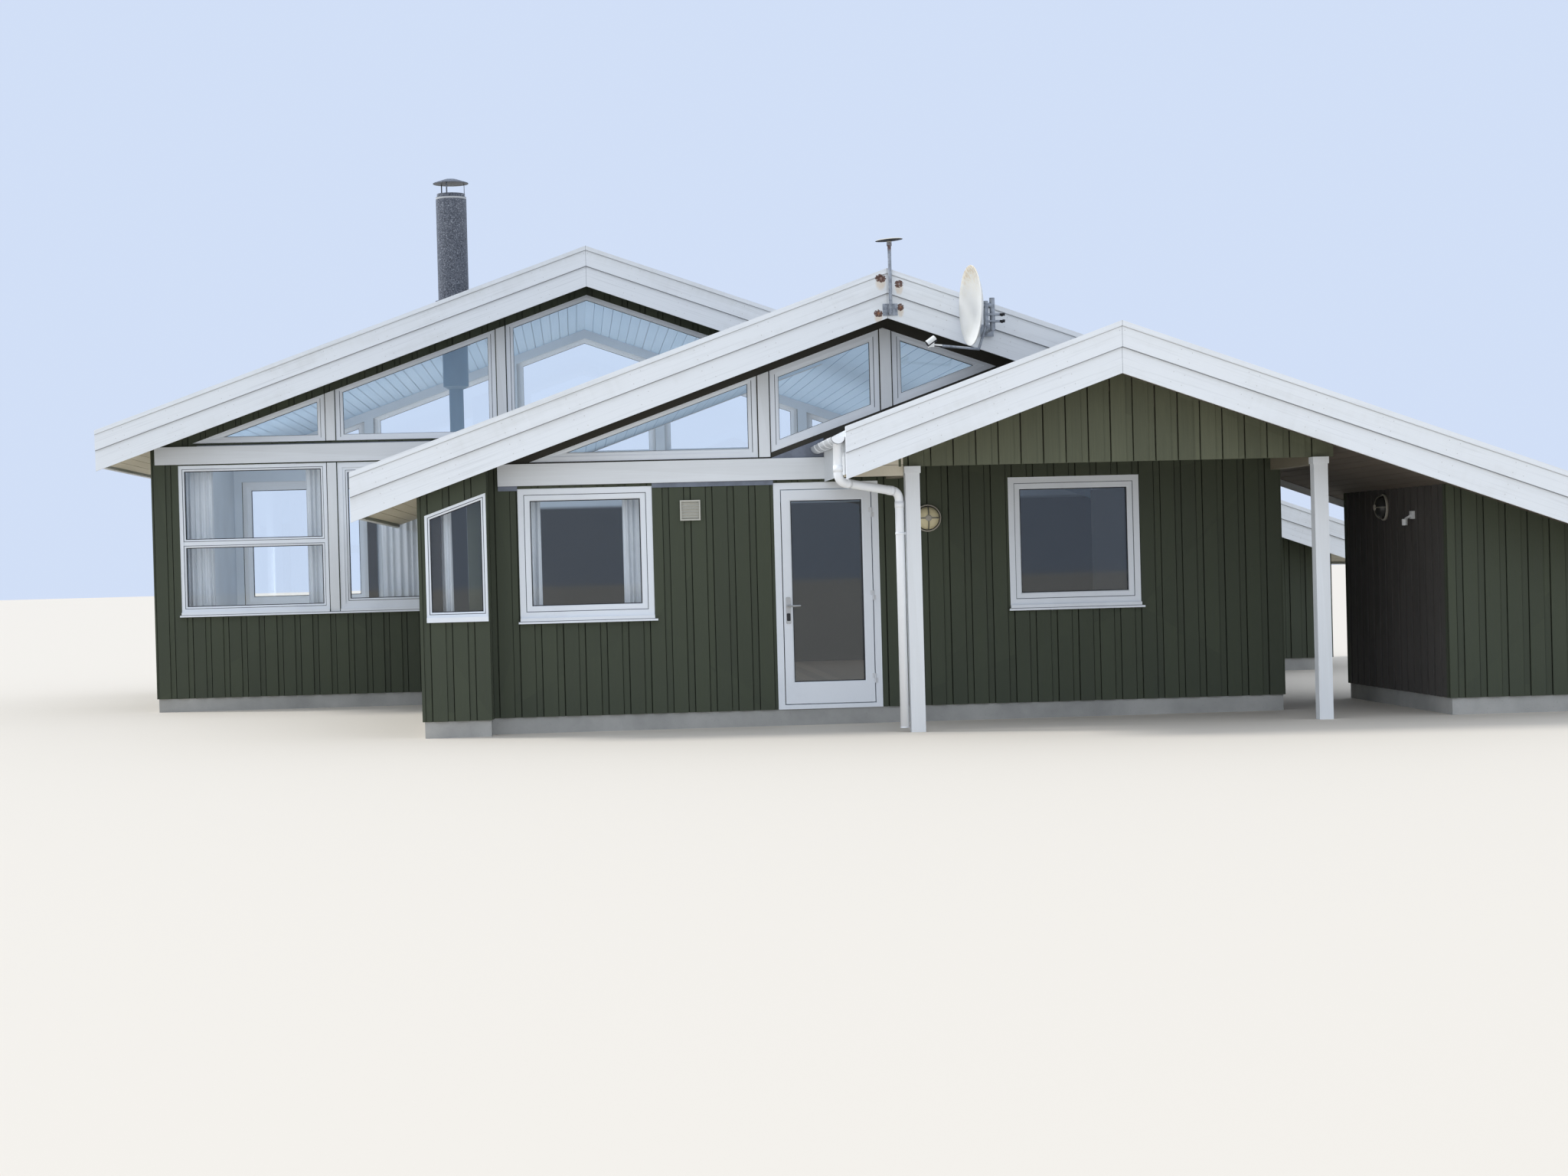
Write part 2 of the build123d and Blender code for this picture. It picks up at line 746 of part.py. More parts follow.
def porch():
    y0 = porch_post_y - porch_gable_thickness / 2
    y1 = porch_post_y + porch_gable_thickness / 2
    half = post_size / 2
    edges = [from_x(post_left_x - half - gable_reach_left), to_x(post_right_x + half + gable_reach_right),
             above(porch_gable_bottom)]
    save("porch_gable", prism(edges + under_roof(porch_ridge_x), y0, y1))
    posts, beams = [], []
    cap = half + post_cap_reach
    for x in (post_left_x, post_right_x):
        post = block(x - half, x + half, porch_post_y - half, porch_post_y + half, 0, porch_gable_bottom)
        posts.append(post + block(x - cap, x + cap, porch_post_y - cap, porch_post_y + cap,
                                  porch_gable_bottom - post_cap_height, porch_gable_bottom))
        edges = [from_x(x - beam_width / 2), to_x(x + beam_width / 2), above(porch_gable_bottom - beam_drop)]
        beams.append(prism(edges + under_roof(porch_ridge_x), porch_post_y + cap, middle_front_y))
    save("porch_posts", *posts)
    save("porch_beams", *beams)


def shed():
    top = under_roof(porch_ridge_x)
    edges = [from_x(shed_left_x), to_x(wing_right_x), above(floor_top)] + top
    save("shed_end_walls", prism(edges, porch_post_y, porch_post_y + shed_wall_thickness),
         prism(edges, shed_back_y - shed_wall_thickness, shed_back_y))
    sides = []
    for x in (shed_left_x, wing_right_x - shed_wall_thickness):
        edges = [from_x(x), to_x(x + shed_wall_thickness), above(floor_top)] + top
        sides.append(prism(edges, porch_post_y + shed_wall_thickness, shed_back_y - shed_wall_thickness))
    save("shed_side_walls", *sides)


def door():
    """The frame, and the glazed leaf hung on the right that opens outwards."""
    x0, x1 = door_x, door_x + door_width
    y0 = middle_front_y + frame_inset
    z0 = floor_top + door_threshold
    inner_x0, inner_x1 = x0 + door_frame_width, x1 - door_frame_width
    frame = block(x0, x1, y0, y0 + frame_depth, floor_top, door_head)
    frame -= block(inner_x0, inner_x1, y0, y0 + frame_depth, z0, door_head - door_frame_width)
    save("door_frame", frame)
    leaf_x0, leaf_x1 = inner_x0 + door_gap, inner_x1 - door_gap
    leaf_z0, leaf_z1 = z0 + door_gap, door_head - door_frame_width - door_gap
    opening = (leaf_x0 + door_stile, leaf_x1 - door_stile)
    levels = (leaf_z0 + door_bottom_rail, leaf_z1 - door_top_rail)
    leaf = block(leaf_x0, leaf_x1, y0, y0 + door_thickness, leaf_z0, leaf_z1)
    leaf -= block(*opening, y0, y0 + door_thickness, *levels)
    save("front_door", leaf)
    middle = y0 + door_thickness / 2
    save("door_glass", block(*opening, middle - glass_thickness / 2, middle + glass_thickness / 2, *levels))
    door_handle(leaf_x0 + handle_inset, y0, floor_top + handle_level)
    door_hinges(inner_x1 - door_gap / 2, y0, (leaf_z0 + hinge_inset, (leaf_z0 + leaf_z1) / 2, leaf_z1 - hinge_inset))


def door_handle(x, face_y, z):
    """A long plate with a key boss, and a lever whose round neck turns on the plate."""
    plate_face = face_y - plate_thickness
    plate = block(x - plate_width / 2, x + plate_width / 2, plate_face, face_y, z + plate_top - plate_height,
                  z + plate_top)
    plate = fillet(plate.edges().filter_by(Axis.Y), plate_width / 4)
    key_boss = Pos(x, plate_face - key_boss_depth / 2, z - keyhole_drop) * Rot(90, 0, 0)
    key_boss *= Cylinder(handle_radius, key_boss_depth)
    save("handle_plate", plate + key_boss)
    neck_face = plate_face - seat_gap
    neck = Pos(x, neck_face - handle_reach / 2, z) * Rot(90, 0, 0) * Cylinder(handle_radius, handle_reach)
    rose = Pos(x, neck_face - handle_radius / 2, z) * Rot(90, 0, 0)
    rose *= Cylinder(rose_share * handle_radius, handle_radius)
    grip_y = neck_face - handle_reach
    grip = Pos(x + handle_length / 2 - handle_radius, grip_y, z) * Rot(0, 90, 0)
    grip *= Cylinder(handle_radius, handle_length)
    save("door_handle", neck + rose + grip)
    print("lever axis", round(x, 3), round(plate_face, 3), round(z, 3))


def door_hinges(axis_x, face_y, levels):
    """Butt hinges on the outer face: the lower knuckle is on the frame, the upper one on the leaf."""
    axis_y = face_y - math.sqrt((hinge_radius + seat_gap) ** 2 - (door_gap / 2) ** 2)
    knuckle = (hinge_length - seat_gap) / 2
    y0 = face_y - hinge_flap_thickness
    fixed, moving = [], []
    for z in levels:
        low, high = z - seat_gap / 2, z + seat_gap / 2
        lower = Pos(axis_x, axis_y, low - knuckle / 2) * Cylinder(hinge_radius, knuckle)
        upper = Pos(axis_x, axis_y, high + knuckle / 2) * Cylinder(hinge_radius, knuckle)
        fixed.append(lower + block(axis_x, axis_x + hinge_flap, y0, face_y, low - knuckle, low))
        moving.append(upper + block(axis_x - hinge_flap, axis_x, y0, face_y, high, high + knuckle))
    save("door_hinges", *fixed)
    save("door_hinge_leaves", *moving)
    print("hinge axis", round(axis_x, 3), round(axis_y, 3))


def chimney():
    """A sheathed pipe through the roof with its cap, and the narrower stovepipe seen through the glass."""
    roof_top = main_ridge_height - top_gap + slope * chimney_x
    soffit = roof_top - roof_drop
    pipe_top = main_ridge_height + chimney_over_ridge
    axis = Pos(chimney_x, chimney_y, 0)

    def tube(outer, inner, z0, z1):
        return axis * Pos(0, 0, (z0 + z1) / 2) * (Cylinder(outer, z1 - z0) - Cylinder(inner, z1 - z0))

    pipe = tube(chimney_radius, chimney_radius - chimney_wall, soffit, pipe_top)
    save("chimney", pipe)
    above_roof = prism([from_x(rear_eave_x), to_x(0), over_left(0, -top_gap)], chimney_y - 2 * collar_radius,
                       chimney_y + 2 * collar_radius)
    collar = tube(collar_radius, chimney_radius + seat_gap, soffit, roof_top + collar_height + slope * chimney_radius)
    save("chimney_collar", collar & above_roof)

    ring_top = pipe_top + cap_ring_height
    lid_low = ring_top + cap_clearance
    ring_radius = chimney_radius - cap_ring_inset
    ring = tube(ring_radius, chimney_radius - chimney_wall, pipe_top, ring_top)
    lid = turned_section((0, 0), (cap_radius, 0), (cap_radius, cap_edge), (cap_radius / 3, cap_rise), (0, cap_rise))
    cap = ring + axis * Pos(0, 0, lid_low) * lid
    leg = Pos(ring_radius - cap_leg_thickness, 0, ring_top + cap_clearance / 2)
    leg *= Box(cap_leg_thickness, cap_leg_width, cap_clearance)
    for turn in range(3):
        cap += axis * Rot(0, 0, 120 * turn + cap_leg_turn) * leg
    save("chimney_cap", cap)

    step = soffit - flue_length
    reducer = flue_radius - stovepipe_radius
    outer = [(flue_radius, soffit), (flue_radius, step), (stovepipe_radius, step - reducer / 2),
             (stovepipe_radius, step - stovepipe_length)]
    inner = [(radius - flue_wall, z) for radius, z in reversed(outer)]
    save("stove_flue", axis * turned_section(*outer, *inner))


def gutter():
    """A half-round gutter along the porch's left eave, and the pipe that swings over to the post."""
    x = porch_eave_x - gutter_radius - seat_gap
    z = ridge_top(porch_ridge_x) - slope * (porch_ridge_x - porch_eave_x) - gutter_drop
    y0, y1 = porch_board_y + board_depth, middle_front_y - board_thickness - seat_gap
    trough = Pos(x, (y0 + y1) / 2, z) * Rot(90, 0, 0) * (Cylinder(gutter_radius, y1 - y0)
                                                         - Cylinder(gutter_radius - gutter_wall, y1 - y0))
    trough = trough & block(x - gutter_radius, x + gutter_radius, y0, y1, z - gutter_radius, z)
    for y in (y0 + gutter_wall / 2, y1 - gutter_wall / 2):
        end = Pos(x, y, z) * Rot(90, 0, 0) * Cylinder(gutter_radius, gutter_wall)
        trough += end & block(x - gutter_radius, x + gutter_radius, y0, y1, z - gutter_radius, z)
    top_z = z - gutter_radius
    outlet_y = y0 + 2 * pipe_radius
    post_side = post_left_x - post_size / 2 - pipe_offset + pipe_radius
    swing_z = porch_gable_bottom - pipe_swing_drop
    route = [(x, outlet_y, top_z), (x, outlet_y, swing_z), (post_side, porch_post_y, swing_z - pipe_swing_fall),
             (post_side, porch_post_y, pipe_ground_gap)]
    pipe = tube_run(route, pipe_radius) - tube_run(route, pipe_radius - pipe_wall)
    bracket = block(post_side + pipe_radius - pipe_wall, post_left_x - post_size / 2 - seat_gap,
                    porch_post_y - bracket_width / 2, porch_post_y + bracket_width / 2,
                    bracket_level - bracket_height / 2, bracket_level + bracket_height / 2)
    trough -= Pos(x, outlet_y, top_z) * Cylinder(pipe_radius - pipe_wall, 2 * gutter_radius)
    save("porch_gutter", trough + pipe + bracket)


def lamp():
    """A round bulkhead lamp on the x, z plane: base, rim, dome and a cross guard."""
    dome_depth = lamp_depth - lamp_rim
    radius = lamp_dome_share * lamp_radius
    rise = (radius ** 2 + dome_depth ** 2) / (2 * dome_depth)
    spread = math.atan2(radius, rise - dome_depth)

    def arc(extra, steps=3):
        turns = [spread * i / steps for i in range(steps + 1)]
        reach, centre = rise + extra, lamp_depth - rise
        return [(reach * math.sin(turn), centre + reach * math.cos(turn)) for turn in turns]

    base = turned_section((0, 0), (lamp_radius, 0), (lamp_radius, lamp_rim), (0, lamp_rim))
    dome = turned_section(*arc(0), (0, lamp_rim))
    half_bow = arc(lamp_guard_rise)
    end_x = half_bow[-1][0]
    bow = half_bow + [(end_x, lamp_rim), (-end_x, lamp_rim)] + [(-x, z) for x, z in half_bow[:0:-1]]
    bow_face = make_face(Polyline(*[(x, 0, z) for x, z in bow], close=True))
    guard = extrude(bow_face, amount=lamp_guard_width / 2, dir=(0, 1, 0), both=True)
    return Rot(90, 0, 0) * (base + dome + guard + Rot(0, 0, 90) * guard)


def wall_fittings():
    shape = lamp()
    save("wall_lamps", Pos(porch_lamp_x, middle_front_y, lamp_level) * shape,
         Pos(shed_left_x, porch_post_y + shed_lamp_setback, lamp_level) * Rot(0, 0, -90) * shape)

    half = vent_size / 2
    clear = half - vent_rim
    y = middle_front_y - vent_depth
    vent = block(vent_x - half, vent_x + half, y, middle_front_y, vent_level - half, vent_level + half)
    vent -= block(vent_x - clear, vent_x + clear, y, middle_front_y - vent_back,
                  vent_level - clear, vent_level + clear)
    slat = Box(2 * clear, vent_slat_depth, vent_slat_thickness)
    pitch = 2 * clear / vent_slats
    for row in range(vent_slats):
        level = vent_level - clear + (row + 0.5) * pitch
        vent += Pos(vent_x, y + vent_depth / 2, level) * Rot(vent_slat_turn, 0, 0) * slat

    x, y, z = shed_left_x, porch_post_y + sensor_setback, lamp_level - sensor_drop
    width, breadth, height = sensor_base
    arm = Pos(x - sensor_arm_reach, y, z + sensor_arm_lift) * Rot(0, sensor_arm_turn, 0)
    sensor = block(x - width, x, y - breadth / 2, y + breadth / 2, z, z + height)
    sensor += arm * Cylinder(sensor_arm_radius, sensor_arm_length)
    sensor += Pos(x - sensor_eye_reach, y, z - sensor_eye_drop) * Cylinder(sensor_eye_radius, sensor_eye_height)
    save("wall_fittings", vent, sensor)


def antenna():
    """A short mast on a plate at the middle ridge, carrying a flat round aerial."""
    lower_face = middle_board_y + bargeboard_lap
    mast_y = middle_board_y - capping_reach - mast_radius - mast_clearance
    ridge = ridge_top(middle_ridge_x)
    foot = ridge - board_drop + mast_plate_lift
    plate_top_z = foot + mast_plate_height
    top = ridge + mast_rise
    half_plate, half_clamp = mast_plate_width / 2, mast_clamp_width / 2
    plate_face = lower_face - mast_plate_thickness
    mast = block(mast_x - half_plate, mast_x + half_plate, plate_face, lower_face, foot, plate_top_z)
    mast += block(mast_x - half_clamp, mast_x + half_clamp, mast_y, plate_face,
                  foot + mast_clamp_inset, plate_top_z - mast_clamp_inset)
    mast += Pos(mast_x, mast_y, (foot + top) / 2) * Cylinder(mast_radius, top - foot)
    neck = Cylinder(mast_neck_share * mast_radius, mast_neck_height)
    mast += Pos(mast_x, mast_y, top + mast_neck_height / 2) * neck
    lens = turned_section((0, 0), (antenna_radius, antenna_thickness / 2),
                          (0.9 * antenna_radius, 0.8 * antenna_thickness), (0, antenna_thickness))
    mast += Pos(mast_x, mast_y, top + mast_neck_height - seat_gap) * Rot(0, -antenna_lean, 0) * lens
    save("antenna_mast", mast)


def dish():
    """An offset dish that faces left on a stand-off bracket, with its feed arm below."""
    board_face = middle_board_y
    tube_y = board_face - capping_reach - dish_standoff
    turned = Pos(dish_tube_x, tube_y, 0) * Rot(0, 0, dish_turn)
    radii = [dish_radius * i / dish_steps for i in range(dish_steps + 1)]
    inner = [(radius, -dish_depth * (radius / dish_radius) ** 2) for radius in radii]
    outer = [(radius, z + dish_sheet) for radius, z in reversed(inner)]
    vertex_x = -dish_vertex_gap
    bowl = Pos(vertex_x, 0, dish_level) * Rot(0, 90, 0) * turned_section(*inner, *outer)
    save("satellite_dish", turned * bowl)

    back_x = vertex_x + dish_sheet + seat_gap
    boss_end = -dish_tube_radius / 2
    near_x, far_x, half_channel = dish_channel
    clamp_x, half_clamp, clamp_rise = dish_clamp
    carrier = Pos(0, 0, dish_tube_low + dish_tube_length / 2) * Cylinder(dish_tube_radius, dish_tube_length)
    boss = Rot(0, 90, 0) * Cylinder(dish_boss_radius, boss_end - back_x)
    carrier += Pos((back_x + boss_end) / 2, 0, dish_level) * boss
    carrier += block(-far_x, -near_x, -half_channel, half_channel, dish_tube_low + dish_channel_rise,
                     dish_level + dish_channel_rise)
    for level in dish_clamp_levels:
        z = dish_tube_low + level
        carrier += block(-clamp_x, clamp_x, -half_clamp, half_clamp, z - clamp_rise, z + clamp_rise)
    low_z = dish_level - dish_radius - 2 * arm_radius - dish_sheet
    carrier += tube_run([(-clamp_x, 0, dish_tube_low + dish_channel_rise + clamp_rise), (-arm_foot_reach, 0, low_z),
                         (-feed_reach, 0, feed_level - feed_radius)], arm_radius)
    aim = math.degrees(math.atan2(dish_level - feed_level, feed_reach + vertex_x))
    carrier += Pos(-feed_reach, 0, feed_level) * Rot(0, 90 - aim, 0) * Cylinder(feed_radius, feed_length)
    carrier += Pos(-feed_reach, 0, feed_level - feed_radius) * Box(feed_body, feed_body, feed_body)

    left, right, below_rod, above_rod = dish_plate
    plate_z = dish_tube_low + dish_standoff_rise
    plate = block(dish_tube_x - left, dish_tube_x + right, board_face - dish_plate_thickness, board_face,
                  plate_z - below_rod, plate_z + above_rod)
    rod = Rot(90, 0, 0) * Cylinder(dish_standoff_radius, board_face - tube_y)
    rod = Pos(dish_tube_x, (tube_y + board_face) / 2, plate_z) * rod
    save("dish_bracket", turned * carrier + plate + rod)


floor()
mullion_pieces = rear_front()
rear_back()
side_walls()
mullion_pieces += middle_front()
save("mullion_boards", *mullion_pieces)
save("front_window_glass", *Facade.front_panes)
save("back_window_glass", *Facade.back_panes)
transom_boards()
flashings()
roofs()
gable_boards()
eave_fascias()
porch()
shed()
door()
chimney()
gutter()
wall_fittings()
antenna()
dish()
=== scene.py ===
import math
import random

import bmesh
import bpy
from mathutils import Matrix, Vector


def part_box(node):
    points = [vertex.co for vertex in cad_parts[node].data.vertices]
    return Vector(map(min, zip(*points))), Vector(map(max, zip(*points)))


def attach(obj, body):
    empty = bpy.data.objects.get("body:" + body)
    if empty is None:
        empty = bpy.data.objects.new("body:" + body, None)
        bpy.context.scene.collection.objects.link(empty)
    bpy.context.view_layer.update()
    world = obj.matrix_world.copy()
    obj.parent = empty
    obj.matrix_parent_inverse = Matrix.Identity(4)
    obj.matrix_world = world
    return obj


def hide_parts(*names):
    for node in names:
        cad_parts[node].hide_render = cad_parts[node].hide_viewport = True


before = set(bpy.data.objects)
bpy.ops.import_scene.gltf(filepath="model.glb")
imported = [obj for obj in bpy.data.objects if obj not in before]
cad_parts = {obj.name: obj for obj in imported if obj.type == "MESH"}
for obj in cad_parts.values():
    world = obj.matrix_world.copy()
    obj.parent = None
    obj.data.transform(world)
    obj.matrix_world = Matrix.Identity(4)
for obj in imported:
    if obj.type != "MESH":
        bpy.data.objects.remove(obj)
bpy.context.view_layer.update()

random.seed(11)

pitch = math.radians(19.6)  # slope of every roof
rise, run = math.sin(pitch), math.cos(pitch)
ridges = {"rear": 0.0, "middle": 2.69, "porch": 4.52}  # x of each ridge, metres
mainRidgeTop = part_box("rear_bargeboards")[1][2]
plan = {  # x or y of the outer faces of the walls, metres
    "rearLeft": -4.955, "middleLeft": -1.625, "bayRight": -0.985, "blockRight": 6.42, "shedLeft": 7.53,
    "wingRight": 9.2, "back": 6.0, "wingFront": 2.13, "rearFront": 0.0, "shedBack": -4.2,
    "middleFront": -5.95, "bayFront": -6.25, "porchLine": -7.38,
}


def ridgeTop(x):
    return mainRidgeTop - math.tan(pitch) * x


# Camera at the photograph's place: eye, turn, tilt and roll
view = {"eye": (-0.209, -30.7, 1.519), "turn": 4.44, "tilt": -0.56, "roll": -1.5, "lens": 61.52}


def makeCamera():
    turn, tilt, roll = (math.radians(view[key]) for key in ("turn", "tilt", "roll"))
    ahead = Vector((math.sin(turn) * math.cos(tilt), math.cos(turn) * math.cos(tilt), math.sin(tilt)))
    level = Vector((math.cos(turn), -math.sin(turn), 0))
    upright = level.cross(ahead)
    right = math.cos(roll) * level + math.sin(roll) * upright
    up = math.cos(roll) * upright - math.sin(roll) * level
    data = bpy.data.cameras.new("camera")
    data.lens = view["lens"]
    data.sensor_width = 36
    camera = bpy.data.objects.new("camera", data)
    bpy.context.collection.objects.link(camera)
    camera.matrix_world = Matrix.Translation(view["eye"]) @ Matrix((right, up, -ahead)).transposed().to_4x4()
    bpy.context.scene.camera = camera


makeCamera()
print("camera set")


# An output socket that takes part in plain arithmetic
class Wire:
    def __init__(self, finish, socket):
        self.finish = finish
        self.socket = socket

    def math(self, operation, *values):
        return self.finish.node("Math", {"operation": operation}, dict(enumerate(values)))

    def __add__(self, other):
        return self.math("ADD", self, other)

    def __radd__(self, other):
        return self.math("ADD", other, self)

    def __sub__(self, other):
        return self.math("SUBTRACT", self, other)

    def __rsub__(self, other):
        return self.math("SUBTRACT", other, self)

    def __mul__(self, other):
        return self.math("MULTIPLY", self, other)

    def __rmul__(self, other):
        return self.math("MULTIPLY", other, self)

    def __truediv__(self, other):
        return self.math("DIVIDE", self, other)

    def __rtruediv__(self, other):
        return self.math("DIVIDE", other, self)

    def __gt__(self, other):
        return self.math("GREATER_THAN", self, other)

    def __lt__(self, other):
        return self.math("LESS_THAN", self, other)

    def __abs__(self):
        return self.math("ABSOLUTE", self)


# A material, with the few kinds of node that its look is built from
class Finish:
    def __init__(self, name, **look):
        self.material = bpy.data.materials.new(name)
        self.material.use_nodes = True
        self.tree = self.material.node_tree
        self.shader = self.tree.nodes["Principled BSDF"]
        for socket, value in look.items():
            self.feed(self.shader.inputs[socket.replace("_", " ")], value)

    def feed(self, socket, value):
        if isinstance(value, Wire):
            self.tree.links.new(value.socket, socket)
        else:
            socket.default_value = (*value, 1) if isinstance(value, tuple) and socket.type == "RGBA" else value

    def node(self, kind, settings=None, sockets=None, out=0):
        made = self.tree.nodes.new("ShaderNode" + kind)
        for name, value in (settings or {}).items():
            if name == "stops":
                ramp = made.color_ramp.elements
                while len(ramp) < len(value):
                    ramp.new(0.5)
                for element, (place, tone) in zip(ramp, value):
                    element.position = place
                    element.color = (*tone, 1) if isinstance(tone, tuple) else (tone, tone, tone, 1)
            else:
                setattr(made, name, value)
        for name, value in (sockets or {}).items():
            self.feed(made.inputs[name], value)
        return Wire(self, made.outputs[out])

    def place(self):
        return self.node("TexCoord", out="Object")

    def parts(self, vector):
        split = self.node("SeparateXYZ", sockets={0: vector})
        return [Wire(self, socket) for socket in split.socket.node.outputs]

    def vector(self, x, y, z):
        return self.node("CombineXYZ", sockets={0: x, 1: y, 2: z})

    def stretched(self, vector, factors):
        return self.node("VectorMath", {"operation": "MULTIPLY"}, {0: vector, 1: factors})

    def length(self, x, y, z):
        return self.node("VectorMath", {"operation": "LENGTH"}, {0: self.vector(x, y, z)}, out="Value")

    def noise(self, vector, scale=1.0, detail=3.0, roughness=0.55):
        sockets = {"Vector": vector, "Scale": scale, "Detail": detail, "Roughness": roughness}
        return self.node("TexNoise", sockets=sockets)

    def random(self, value):
        return self.node("TexWhiteNoise", {"noise_dimensions": "1D"}, {"W": value})

    def ramp(self, value, *stops):
        return self.node("ValToRGB", {"stops": stops}, {0: value})

    def fade(self, value, low, high, start=0.0, end=1.0):
        sockets = {0: value, 1: low, 2: high, 3: start, 4: end}
        return self.node("MapRange", {"interpolation_type": "SMOOTHSTEP"}, sockets)

    def blend(self, share, first, second):
        return self.node("Mix", {"data_type": "RGBA"}, {0: share, 6: first, 7: second}, out=2)

    def relief(self, height, depth, strength):
        bump = self.node("Bump", sockets={"Height": height, "Distance": depth, "Strength": strength})
        self.feed(self.shader.inputs["Normal"], bump)

    def facesUp(self, above):
        return self.parts(self.node("NewGeometry", out="Normal"))[2] > above

    def colour(self, value):
        self.feed(self.shader.inputs["Base Color"], value)

    def colourNow(self):
        return Wire(self, self.shader.inputs["Base Color"].links[0].from_socket)

    def rough(self, value):
        self.feed(self.shader.inputs["Roughness"], value)


# Colours that the finishes share, linear red, green and blue
timber = {
    "green": (0.066, 0.079, 0.046), "greenDark": (0.046, 0.055, 0.034), "shed": (0.095, 0.086, 0.078),
    "white": (0.82, 0.85, 0.875), "whiteWorn": (0.50, 0.52, 0.54), "joint": (0.12, 0.13, 0.15),
    "brown": (0.120, 0.098, 0.078), "brownStainAndShade": (0.028, 0.026, 0.019), "cream": (0.72, 0.66, 0.52),
    "rust": (0.32, 0.12, 0.04), "rustDark": (0.10, 0.035, 0.018), "floorWood": (0.16, 0.10, 0.06),
    "insideSkyTintedWhite": (0.48, 0.66, 0.86), "insideWall": (0.038, 0.032, 0.024), "insidePaintedLight": (0.66, 0.73, 0.80),
}


# Stained or painted boards: every board has its own tone, with a fine grain along it
def boardFinish(name, tone, pale, along="z", spread=0.3):
    finish = Finish(name)
    place = finish.place()
    factors = {"x": (2, 60, 60), "y": (60, 2, 60), "z": (60, 60, 2)}[along]
    grain = finish.noise(finish.stretched(place, factors), 1.0, 4, 0.6)
    cloud = finish.noise(place, 1.3, 2)
    board = finish.node("NewGeometry", out="Random Per Island")
    share = spread * board + 0.4 * grain + 0.25 * cloud
    finish.colour(finish.blend(finish.fade(share, 0.15, 0.9), tone, pale))
    finish.rough(0.62 + 0.25 * grain)
    finish.relief(grain, 0.0012, 0.6)
    return finish


# Bargeboards, down from the roof's upper edge: lap of the two boards, painted shadows under the lap and the edge
# strip, rows of nails
barge = {"lap": 0.212, "lapShadowLine": 0.2135, "edgeStripShadowLine": 0.047, "nails": (0.075, 0.165, 0.275, 0.365),
         "nailStep": 0.62, "nailStart": 0.05}
boltRust = [  # x, z, half width and half height
    (2.630, 4.075, 0.054, 0.042), (2.797, 4.020, 0.042, 0.038),
    (2.606, 3.759, 0.044, 0.036), (2.809, 3.811, 0.034, 0.036),
]


# White boards along both slopes of one gable, mitred at the ridge, with nails, grain, dirt, rust and painted
# shadow lines
def bargeFinish(name, ridge, rustAt=()):
    finish = Finish(name)
    x, y, z = finish.parts(finish.place())
    reach = abs(x - ridges[ridge])
    fall = ridgeTop(ridges[ridge]) - z
    along = reach * run + fall * rise
    across = fall * run - reach * rise
    lower = across > barge["lap"]
    grain = finish.noise(finish.vector(along * 1.1, lower * 7.3 + y * 5, across * 75), 1.0, 4, 0.62)
    cloud = finish.noise(finish.vector(along * 0.9, y, across * 5), 1.0, 3)
    streak = finish.noise(finish.vector(along * 16, y, across * 1.2), 1.0, 3, 0.6)
    tone = finish.blend(finish.fade(grain, 0.52, 0.80, 0, 0.42), timber["white"], timber["whiteWorn"])
    tone = finish.blend(finish.fade(cloud + 0.25 * streak, 0.58, 0.95, 0, 0.4), tone, (0.60, 0.61, 0.59))
    # Painted shadow: a thin dark line under the upper board's lap and a fainter one under the edge strip, in the
    # joint colour
    lap = finish.fade(abs(across - barge["lapShadowLine"]), 0.002, 0.0045, 1, 0)
    edge = lap + 0.6 * finish.fade(abs(across - barge["edgeStripShadowLine"]), 0.002, 0.005, 1, 0)
    mitre = finish.fade(reach, 0.0012, 0.0028, 1, 0)
    tone = finish.blend(0.7 * edge, tone, timber["joint"])
    tone = finish.blend(0.7 * mitre, tone, timber["joint"])
    slot = finish.node("Math", {"operation": "PINGPONG"}, {0: along, 1: barge["nailStep"] / 2})
    nails = 0.0
    for depth in barge["nails"]:
        spot = finish.length(slot - barge["nailStart"], 0.0, across - depth)
        nails = finish.fade(spot, 0.0028, 0.0065, 1, 0) + nails
    tone = finish.blend(0.3 * nails, tone, (0.20, 0.17, 0.14))
    if rustAt:
        patch = finish.noise(finish.stretched(finish.place(), (62, 20, 62)), 1.0, 4, 0.72)
        stain, drips = 0.0, 0.0
        for px, pz, wide, high in rustAt:
            aside = (x - px) / wide
            dripsDown = (z - pz + 0.9 * high) / (1.9 * high)
            stain = finish.fade(finish.length(aside, 0.0, (z - pz) / high), 0.45, 1.25, 1, 0) + stain
            drips = finish.fade(finish.length(aside, 0.0, dripsDown), 0.45, 1.25, 1, 0) + drips
        tone = finish.blend(finish.fade(drips * (0.3 + patch), 0.10, 0.9, 0, 0.55), tone, (0.66, 0.50, 0.31))
        crust = finish.fade(stain * (2.6 * patch - 0.8), 0.14, 0.26, 0, 0.95)
        tone = finish.blend(crust, tone, timber["rustDark"])
    finish.colour(tone)
    finish.rough(0.45 + 0.3 * grain)
    finish.relief(grain * 0.8 - nails, 0.0009, 0.6)
    return finish


# Smooth paint with faint dirt in patches
def paintFinish(name, tone, dirt=0.25, roughness=0.35):
    finish = Finish(name)
    place = finish.place()
    cloud = finish.noise(place, 2.2, 4, 0.6)
    speck = finish.noise(place, 48, 3, 0.6)
    share = finish.fade(cloud, 0.48, 0.82) * (0.4 + 0.6 * speck) * dirt
    finish.colour(finish.blend(share, tone, tuple(0.55 * channel for channel in tone)))
    finish.rough(roughness + 0.18 * cloud)
    finish.relief(speck, 0.0003, 0.4)
    return finish


